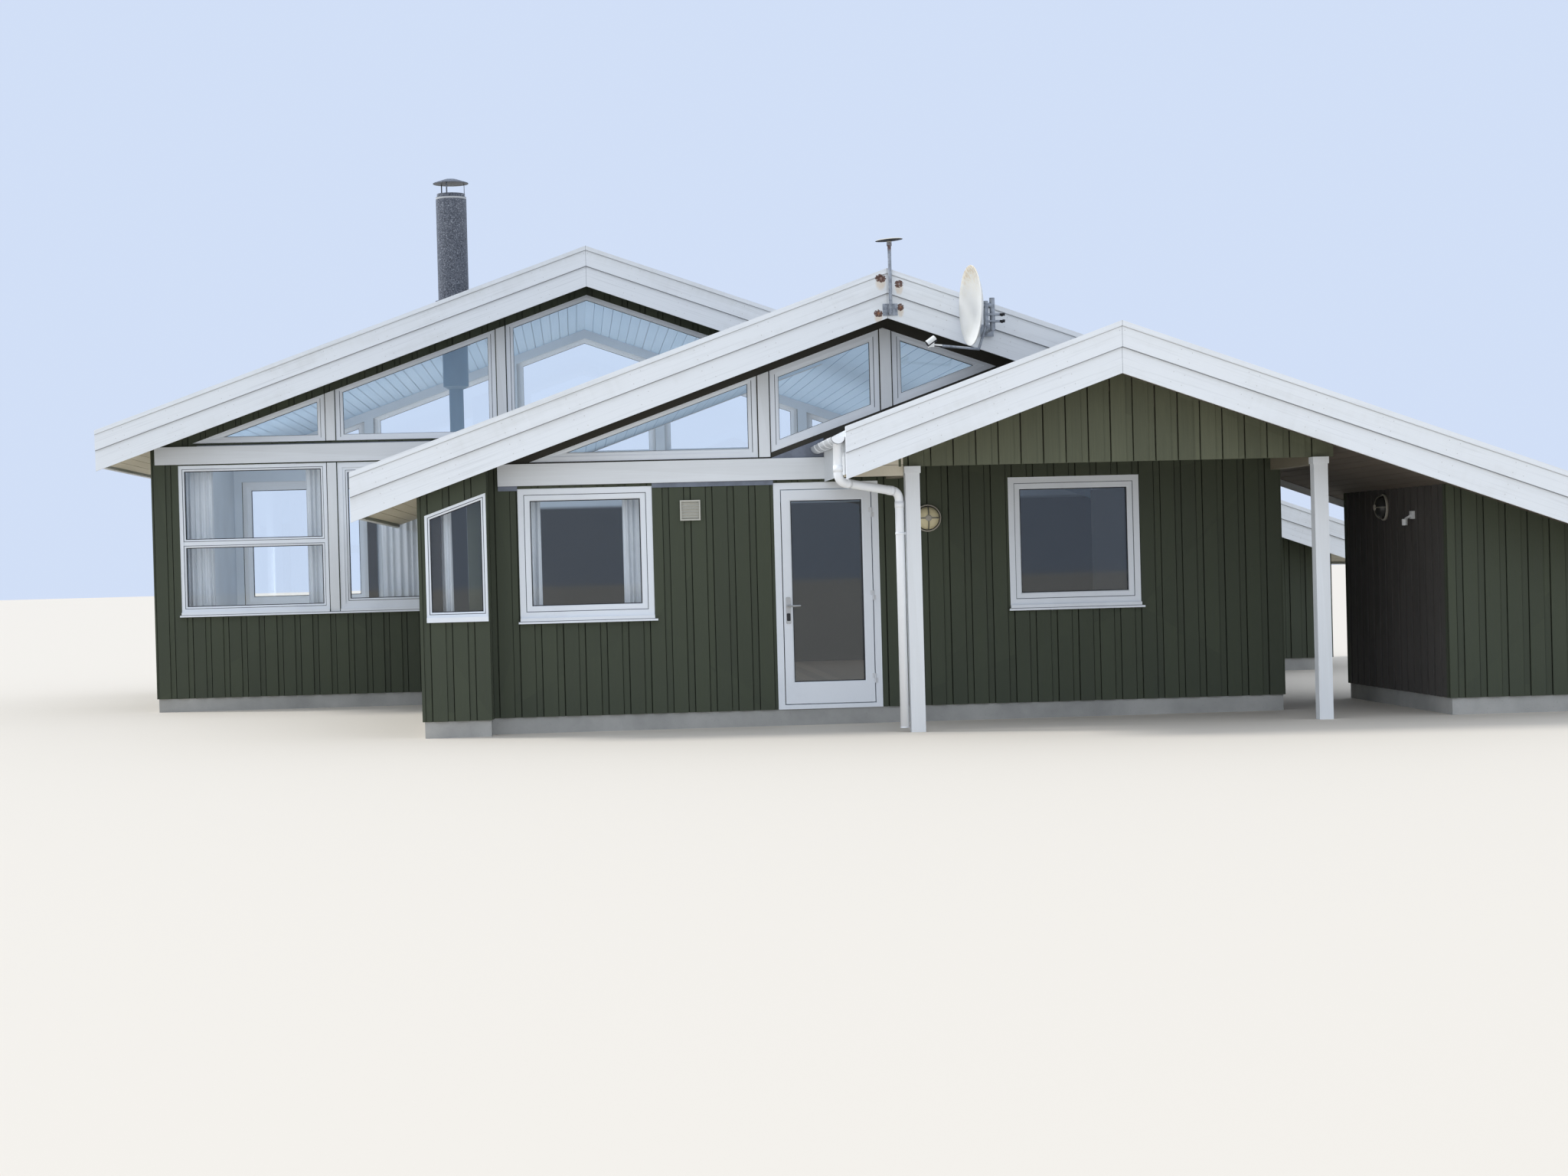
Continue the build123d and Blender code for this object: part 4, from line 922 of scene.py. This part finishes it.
def glaze():
    for node, body in glazing["panes"].items():
        target = bmesh.new()
        for solid in islands(nodeShape(node)):
            outward = facing(solid, 1 if node.startswith("back") else -1)
            light = span(solid, (0, 0, 1))[0] > glazing["lightsAbove"]
            for way in (outward, -outward):
                ring(target, solid, way, glazing["bead"], 0)
                ring(target, solid, way, glazing["lightGasket" if light else "gasket"], 1)
            if node != "door_glass":
                sashLine(target, solid, outward, node, light)
            solid.free()
        piece(node + "_beads", target, ["frame", "rubber", "shadow"], body)
    print("panes glazed")


glaze()


# A box from its low and high corners
def boxAt(target, low, high, finishIndex=0):
    made = bmesh.ops.create_cube(target, size=1.0)["verts"]
    for vert in made:
        vert.co = Vector([low[i] + (vert.co[i] + 0.5) * (high[i] - low[i]) for i in range(3)])
    for face in {face for vert in made for face in vert.link_faces}:
        face.material_index = finishIndex


# Boards between the windows, with a gap at each side and eased front edges
mullionLook = {"gap": 0.010, "chamfer": 0.003}


def boardMullions():
    target = bmesh.new()
    for solid in islands(nodeShape("mullion_boards")):
        low, high = span(solid, (1, 0, 0))
        trim(solid, (1, 0, 0), high - mullionLook["gap"])
        trim(solid, (-1, 0, 0), -(low + mullionLook["gap"]))
        front = span(solid, (0, -1, 0))[1]
        edges = [edge for edge in solid.edges if len(edge.link_faces) == 2
                 and all(abs(vert.co.y + front) < 1e-4 for vert in edge.verts)
                 and abs(edge.link_faces[0].normal.y - edge.link_faces[1].normal.y) > 0.5]
        bmesh.ops.bevel(solid, geom=edges, offset=mullionLook["chamfer"], segments=2, profile=0.6,
                        affect="EDGES")
        addTo(target, solid, 0)
    piece("mullion_boards_gapped", target, ["postWhite"], stands=["mullion_boards"])
    print("mullions boarded")


boardMullions()

# Cream boards that close the porch eave between its edge and the left post
eaveBoard = {"x": (2.150, 2.672), "y": (-7.402, -7.376), "foot": 2.245, "joint": 2.338, "gap": 0.004,
             "top": 2.6, "underside": 1.4301}  # the roof's underside, along the slope's normal


def closeEave():
    target = bmesh.new()
    (left, right), (front, back), joint = eaveBoard["x"], eaveBoard["y"], eaveBoard["joint"]
    for low, high in ((eaveBoard["foot"], joint), (joint + eaveBoard["gap"], eaveBoard["top"])):
        board = bmesh.new()
        boxAt(board, (left, front, low), (right, back, high))
        trim(board, (-rise, 0, run), eaveBoard["underside"])
        addTo(target, board, 0)
    piece("porch_eave_boards", target, ["cream"])
    print("eave closed")


closeEave()

# Drip plates under the sills: x from and to, level of the sill's underside, wall face
drips = {
    "sills": [(-4.668, plan["middleLeft"], 1.075, plan["rearFront"]),
              (-0.740, 0.540, 1.015, plan["middleFront"]), (3.812, 5.093, 1.015, plan["middleFront"])],
    "reach": 0.044, "rise": 0.012, "fall": 0.006, "lip": 0.006, "bend": 0.003, "sheet": 0.002,
    "shadow": ((0.018, 0.0085, 0.004), (-0.028, 0.0090, 0.017)),  # its corners, from the left and right end
}


def addDrips():
    target = bmesh.new()
    for x0, x1, z, face in drips["sills"]:
        nose = face - drips["reach"]
        lip, low, top = nose + drips["lip"], z - drips["sheet"], z + drips["rise"]
        profile = [(nose, z - drips["fall"]), (nose, top), (lip, top), (lip, z), (face, z), (face, low),
                   (nose + drips["bend"], low)]
        rows = [[target.verts.new((x, y, level)) for y, level in profile] for x in (x0, x1)]
        bridge(target, rows)
        for row in rows:
            target.faces.new(row)
        ends = [(x + dx, nose + dy, z + dz) for x, (dx, dy, dz) in zip((x0, x1), drips["shadow"])]
        boxAt(target, *ends, 1)
    bmesh.ops.recalc_face_normals(target, faces=target.faces)
    piece("sill_drips", target, ["frame", "shadow"])
    print("drips added")


addDrips()

# Dark cover of the lock on the handle plate: a rounded box with a bevelled face
lockCover = {"centre": (1.749, 1.005), "size": (0.034, 0.072), "corner": 0.009, "face": -5.958, "reach": 0.0045,
             "steps": 16, "bevel": ((1.0, 0.0), (1.0, 0.7), (0.88, 1.0))}


def coverLock():
    target = bmesh.new()
    corner, steps, (x, z) = lockCover["corner"], lockCover["steps"], lockCover["centre"]
    half = [size / 2 - corner for size in lockCover["size"]]
    loop = []
    for turn in range(steps):
        angle = 2 * math.pi * (turn + 0.5) / steps
        loop.append((math.copysign(half[0], math.cos(angle)) + corner * math.cos(angle),
                     math.copysign(half[1], math.sin(angle)) + corner * math.sin(angle)))
    rows = [[target.verts.new((x + u * share, lockCover["face"] - out * lockCover["reach"], z + v * share))
             for u, v in loop] for share, out in lockCover["bevel"]]
    bridge(target, rows)
    target.faces.new(rows[0])
    target.faces.new(rows[-1])
    bmesh.ops.recalc_face_normals(target, faces=target.faces)
    piece("lock_cover", target, ["knob"], "front_door")
    print("lock covered")


coverLock()


# Turns a profile of radius and height about an axis
def lathe(shape, profile, base, axis, finishIndex=0, steps=48):
    base, axis = Vector(base), Vector(axis).normalized()
    side = axis.orthogonal().normalized()
    up = axis.cross(side)
    rows = []
    for radius, height in profile:
        turns = [0] if radius < 1e-6 else [2 * math.pi * i / steps for i in range(steps)]
        centre = base + axis * height
        rows.append([shape.verts.new(centre + radius * (math.cos(turn) * side + math.sin(turn) * up))
                     for turn in turns])
    for lower, upper in zip(rows, rows[1:]):
        for i in range(steps):
            around = ((lower, i), (lower, i + 1), (upper, i + 1), (upper, i))
            face = shape.faces.new(list(dict.fromkeys(row[turn % len(row)] for row, turn in around)))
            face.material_index = finishIndex
            face.smooth = steps > 12


# Carries a closed section along points, keeping its turn
def sweep(shape, points, section, up=(0, 0, 1), finishIndex=0, smooth=True):
    points = [Vector(point) for point in points]
    rows = []
    up = Vector(up)
    for i, point in enumerate(points):
        ahead = points[min(i + 1, len(points) - 1)] - points[max(i - 1, 0)]
        ahead.normalize()
        side = ahead.cross(up).normalized()
        up = side.cross(ahead).normalized()
        rows.append([shape.verts.new(point + side * u + up * v) for u, v in section])
    bridge(shape, rows, finishIndex, smooth)
    for row in (rows[0], rows[-1]):
        shape.faces.new(row).material_index = finishIndex


def circle(radius, steps=32):
    turns = [2 * math.pi * i / steps for i in range(steps)]
    return [(radius * math.cos(turn), radius * math.sin(turn)) for turn in turns]


# The same run of points with its corners rounded, each by a curve
def rounded(points, radius, steps=7):
    points = [Vector(point) for point in points]
    route = [points[0]]
    for before, corner, after in zip(points, points[1:], points[2:]):
        start = corner + (before - corner).normalized() * radius
        end = corner + (after - corner).normalized() * radius
        for i in range(steps + 1):
            t = i / steps
            route.append(start * (1 - t) ** 2 + corner * 2 * t * (1 - t) + end * t ** 2)
    return route + [points[-1]]


# Bulkhead lamps: rim, grooved seat, glass (painted dark as shade in the lamp that looks left), cross guard and
# boss
lampShape = {
    "rim": [(0, 0), (0.127, 0), (0.127, 0.018), (0.123, 0.024), (0.116, 0.024), (0.114, 0.018)],
    "groove": [(0.114, 0.018), (0.113, 0.010), (0.107, 0.010), (0.106, 0.014)],
    "glass": [(0.106, 0.014), (0.106, 0.030), (0.102, 0.048), (0.090, 0.068), (0.071, 0.083), (0.048, 0.092),
              (0.024, 0.096), (0, 0.097)],
    "boss": [(0.028, 0.088), (0.030, 0.100), (0.026, 0.105), (0.012, 0.106), (0, 0.103)],
    "arm": [(0.020, 0.100), (0.048, 0.096), (0.073, 0.087), (0.093, 0.071), (0.105, 0.050), (0.112, 0.020)],
    "armSection": [(-0.0055, -0.002), (0.0055, -0.002), (0.0055, 0.003), (-0.0055, 0.003)],
}


def buildLamps():
    target = bmesh.new()
    for solid in islands(nodeShape("wall_lamps")):
        outward = facing(solid)
        side = Vector((0, 0, 1)).cross(outward)
        low, high = span(solid, side)
        zLow, zHigh = span(solid, (0, 0, 1))
        base = side * (low + high) / 2 + Vector((0, 0, (zLow + zHigh) / 2)) + outward * span(solid, outward)[0]
        lathe(target, lampShape["rim"], base, outward, 0)
        lathe(target, lampShape["groove"], base, outward, 3)
        # The lamp that looks left gets its glass painted dark as shade
        lathe(target, lampShape["glass"], base, outward, 2 if outward.x else 1)
        lathe(target, lampShape["boss"], base, outward, 0, 24)
        for turn in range(4):
            spoke = math.cos(turn * math.pi / 2) * side + math.sin(turn * math.pi / 2) * Vector((0, 0, 1))
            points = [base + spoke * radius + outward * height for radius, height in lampShape["arm"]]
            sweep(target, points, lampShape["armSection"], outward, 4, False)
        solid.free()
    looks = ["lampRim", "lampGlass", "lampGlassShaded", "knob", "lampGuard"]
    piece("wall_lamps_detailed", target, looks, stands=["wall_lamps"])
    print("lamps built")


buildLamps()

# Half-round gutter with a rolled edge, and the downpipe with its elbows, collars and clip
gutter = {
    "x": 2.0527, "z": 2.5716, "y": (-7.95, -5.9783), "radius": 0.062, "wall": 0.004, "bead": 0.007, "lid": 0.995,
    "strapFrom": 0.3, "strapAt": 0.42, "strap": 1.075, "strapHalf": 0.016,
    "route": [(2.0527, -7.87, 2.530), (2.0527, -7.87, 2.190), (2.6335, -7.38, 2.105), (2.6335, -7.38, 0.04)],
    "pipe": 0.0385, "collar": 0.0415, "collarLength": 0.055, "footRing": 0.004, "elbow": 0.085,
    "clipAt": 1.74, "clipHalf": 0.011, "clipReach": 0.0515, "steps": 24,
}


def collarAt(target, place, away, length):
    inner, outer = gutter["pipe"], gutter["collar"]
    lathe(target, [(inner, 0), (outer, 0), (outer, length), (inner, length)], place, away, 0, 32)


def buildGutter():
    target = bmesh.new()
    radius, wall = gutter["radius"], gutter["wall"]
    arc = [math.pi + math.pi * i / gutter["steps"] for i in range(gutter["steps"] + 1)]
    outside = [(radius * math.cos(turn), radius * math.sin(turn)) for turn in arc]
    inside = [((radius - wall) * math.cos(turn), (radius - wall) * math.sin(turn)) for turn in reversed(arc)]
    x, z = gutter["x"], gutter["z"]
    start, end = gutter["y"]
    sweep(target, [(x, start, z), (x, end, z)], outside + inside)
    roll = gutter["bead"] / 2
    beadX, beadZ = x - radius + roll, z - roll
    sweep(target, [(beadX, start, beadZ), (beadX, end, beadZ)], circle(roll, 12))
    lid = [(u * gutter["lid"], v * gutter["lid"]) for u, v in outside]
    for y in (start, end - wall):
        sweep(target, [(x, y, z), (x, y + wall, z)], lid, smooth=False)
    strap = [(u * gutter["strap"], v * gutter["strap"]) for u, v in outside] + outside[::-1]
    y = start + gutter["strapFrom"]
    while y < end:
        sweep(target, [(x, y - gutter["strapHalf"], z), (x, y + gutter["strapHalf"], z)], strap, smooth=False)
        y += gutter["strapAt"]
    route = rounded(gutter["route"], gutter["elbow"])
    sweep(target, route, circle(gutter["pipe"]), (1, 0, 0))
    corners = [Vector(point) for point in gutter["route"]]
    for i, corner in enumerate(corners[1:-1], 1):
        for end in (corners[i - 1], corners[i + 1]):
            away = (end - corner).normalized()
            collarAt(target, corner + away * gutter["elbow"], away, gutter["collarLength"])
    foot = corners[-1]
    sweep(target, [foot, foot + Vector((0, 0, gutter["footRing"]))], circle(gutter["collar"]), (1, 0, 0))
    clip, half = Vector((foot.x, foot.y, gutter["clipAt"])), gutter["clipHalf"]
    collarAt(target, clip - Vector((0, 0, half)), Vector((0, 0, 1)), 2 * half)
    block = [(-half, -half), (half, -half), (half, half), (-half, half)]
    ends = [clip + Vector((reach, 0, 0)) for reach in (gutter["pipe"], gutter["clipReach"])]
    sweep(target, ends, block, smooth=False)
    piece("porch_gutter_detailed", target, ["plastic"], stands=["porch_gutter"])
    print("gutter built")


buildGutter()

# Dish: a thin bowl with a rolled rim, on the carrier's boss
dish = {"radius": 0.361, "depth": 0.090, "sheet": 0.005, "roll": 0.0045, "turn": math.radians(7.6), "rings": 10}


def buildDish():
    low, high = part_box("satellite_dish")
    turn = dish["turn"]
    axis = Vector((math.cos(turn), math.sin(turn), 0))
    centre = (Vector(low) + Vector(high)) / 2
    rimX = low[0] + dish["radius"] * math.sin(turn)
    base = Vector((rimX, centre.y - 0.5 * dish["depth"] * math.sin(turn), centre.z)) + axis * dish["depth"]
    edge = dish["radius"] - dish["roll"]
    shares = [i / dish["rings"] for i in range(dish["rings"] + 1)]
    bowl = [(edge * share, -dish["depth"] * share ** 2) for share in shares]
    roll = [(edge + dish["roll"] * math.sin(t), -dish["depth"] + dish["sheet"] / 2 - dish["roll"] * math.cos(t))
            for t in (math.pi * i / 6 for i in range(7))]
    back = [(radius, height + dish["sheet"]) for radius, height in reversed(bowl)]
    target = bmesh.new()
    lathe(target, bowl[:-1] + roll + back[1:], base, axis, 0, 96)
    piece("satellite_dish_bowl", target, ["dish"], stands=["satellite_dish"])
    print("dish built")


buildDish()

# Bolts on the boards round the mast, and the dark knobs on the dish clamps
bolts = {
    "board": [(2.633, 4.075), (2.797, 4.020), (2.608, 3.759), (2.809, 3.811)], "face": -6.43, "size": 0.008,
    "reach": 0.009, "washer": (0.012, 0.003), "lowerBelow": 3.87, "lowerBack": 0.022,
    "tube": (3.585, -6.83), "knobOut": 0.058, "knobAside": (-0.028, 0.028), "knobLevels": (3.630, 3.690),
    "knob": [(0, 0), (0.009, 0), (0.009, 0.030), (0.014, 0.030), (0.014, 0.048), (0, 0.050)],
}


def buildBolts():
    target = bmesh.new()
    size, reach, (washer, thin) = bolts["size"], bolts["reach"], bolts["washer"]
    head = [(0, 0), (washer, 0), (washer, thin), (size, thin), (size, reach), (0, reach)]
    for x, z in bolts["board"]:
        back = bolts["lowerBack"] if z < bolts["lowerBelow"] else 0.0
        lathe(target, head, (x, bolts["face"] + back, z), (0, -1, 0), 0, 6)
    piece("mast_bolts", target, ["rusty"])
    target = bmesh.new()
    turn = dish["turn"]
    axis = Vector((math.cos(turn), math.sin(turn), 0))
    side = Vector((-math.sin(turn), math.cos(turn), 0))
    for z in bolts["knobLevels"]:
        for aside in bolts["knobAside"]:
            base = Vector((*bolts["tube"], z)) + axis * bolts["knobOut"] + side * aside
            lathe(target, bolts["knob"], base, axis, 0, 16)
    piece("dish_clamp_knobs", target, ["knob"])
    print("bolts built")


buildBolts()

# Curtains: the wall that they rest on, where they hang, and their folds
curtains = {
    "rear_left": {"wall": "rear_front_wall", "x": (-4.60, -4.30), "y": 0.26, "z": (1.10, 2.74), "folds": 5},
    "rear_right": {"wall": "rear_front_wall", "x": (-3.25, -3.02), "y": 0.26, "z": (1.10, 2.74), "folds": 4},
    "rear_second": {"wall": "rear_front_wall", "x": (-2.42, -1.80), "y": 0.26, "z": (1.10, 2.74), "folds": 8},
    "bay_left": {"wall": "bay_wall", "x": (-1.50, -1.33), "y": -5.99, "z": (1.06, 2.06), "folds": 3},
    "middle_left": {"wall": "middle_front_wall", "x": (-0.66, -0.52), "y": -5.69, "z": (1.06, 2.20), "folds": 2},
    "middle_right": {"wall": "middle_front_wall", "x": (0.24, 0.46), "y": -5.69, "z": (1.06, 2.20), "folds": 4},
}
curtainLook = {"depth": 0.028, "top": 0.55, "flare": 0.5, "lean": 0.006, "sway": 0.008, "steps": 10, "rows": 12}


# A point of the cloth, from shares across and down; uneven turns keep the folds from being alike
def clothPoint(hung, across, down, phase):
    (x0, x1), (low, high) = hung["x"], hung["z"]
    turn = across * hung["folds"] * 2 * math.pi
    depth = curtainLook["depth"] * (curtainLook["top"] + curtainLook["flare"] * down)
    lean = curtainLook["lean"] * math.sin(3 * down + turn / 3 + phase)
    x = x0 + (x1 - x0) * across + curtainLook["sway"] * down * math.sin(turn * 0.7 + phase)
    y = hung["y"] + depth * math.sin(turn + 0.5 * math.sin(turn * 0.37 + phase)) + lean
    return x, y, high + (low - high) * down


def hangCurtains():
    for name, hung in curtains.items():
        shape = bmesh.new()
        columns = hung["folds"] * curtainLook["steps"]
        phase = random.uniform(0, 6)
        rows = [[shape.verts.new(clothPoint(hung, c / columns, r / curtainLook["rows"], phase))
                 for c in range(columns + 1)] for r in range(curtainLook["rows"] + 1)]
        for upper, lower in zip(rows, rows[1:]):
            for c in range(columns):
                shape.faces.new((upper[c], upper[c + 1], lower[c + 1], lower[c]))
        cloth = piece("curtain_" + name, shape, ["cloth"], smooth=True)
    print("curtains hung")


hangCurtains()

# Stage: pale floor, soft light from all round, a soft sun from the left, and lamps inside the rooms
stage = {"size": 400, "floor": (0.68, 0.62, 0.53), "sky": (0.64, 0.74, 0.93), "skyLight": (0.78, 0.85, 0.97),
         "skyStrength": 1.2, "sun": 1.9, "sunFrom": (-1.0, 0.35, 0.95), "sunWidth": 12}
roomLamps = {"rear": {"at": (0.8, 3.0, 2.25), "size": (7.4, 5.0), "power": 82, "lean": 180},
             "front": {"at": (2.4, -2.9, 2.35), "size": (6.6, 5.0), "power": 62, "lean": 180},
             "left": {"at": (-3.9, 1.4, 1.55), "size": (1.7, 0.9), "power": 48, "lean": 90}}


def makeStage():
    bpy.ops.mesh.primitive_plane_add(size=stage["size"])
    floor = bpy.context.object
    floor.name = "stage_floor"
    ground = Finish("stageFloor", Roughness=0.9, Base_Color=stage["floor"])
    floor.data.materials.append(ground.material)
    world = bpy.data.worlds.new("studio")
    bpy.context.scene.world = world
    world.use_nodes = True
    tree = world.node_tree
    light = tree.nodes["Background"]
    light.inputs[0].default_value = (*stage["skyLight"], 1)
    light.inputs[1].default_value = stage["skyStrength"]
    seen = tree.nodes.new("ShaderNodeBackground")
    seen.inputs[0].default_value = (*stage["sky"], 1)
    seen.inputs[1].default_value = 1.0
    path = tree.nodes.new("ShaderNodeLightPath")
    share = path.outputs["Is Camera Ray"]
    for kind in ("Is Glossy Ray", "Is Transmission Ray"):
        either = tree.nodes.new("ShaderNodeMath")
        either.operation = "MAXIMUM"
        tree.links.new(share, either.inputs[0])
        tree.links.new(path.outputs[kind], either.inputs[1])
        share = either.outputs[0]
    mix = tree.nodes.new("ShaderNodeMixShader")
    tree.links.new(share, mix.inputs[0])
    tree.links.new(light.outputs[0], mix.inputs[1])
    tree.links.new(seen.outputs[0], mix.inputs[2])
    tree.links.new(mix.outputs[0], tree.nodes["World Output"].inputs["Surface"])
    sun = bpy.data.lights.new("sun", "SUN")
    sun.energy = stage["sun"]
    sun.angle = math.radians(stage["sunWidth"])
    lamp = bpy.data.objects.new("sun", sun)
    lamp.rotation_mode = "QUATERNION"
    lamp.rotation_quaternion = Vector(stage["sunFrom"]).to_track_quat("Z", "Y")
    bpy.context.collection.objects.link(lamp)
    for name, room in roomLamps.items():  # on the ceilings, and on the back wall of the rear room's left corner
        panel = bpy.data.lights.new(name + "_room_light", "AREA")
        panel.shape = "RECTANGLE"
        panel.size, panel.size_y = room["size"]
        panel.energy = room["power"]
        holder = bpy.data.objects.new(name + "_room_light", panel)
        holder.location = room["at"]
        holder.rotation_euler = (math.radians(room["lean"]), 0, 0)
        for ray in ("camera", "glossy", "transmission"):
            setattr(holder, "visible_" + ray, False)
        bpy.context.collection.objects.link(holder)
    bpy.context.scene.view_settings.view_transform = "Standard"


makeStage()
print("stage set")
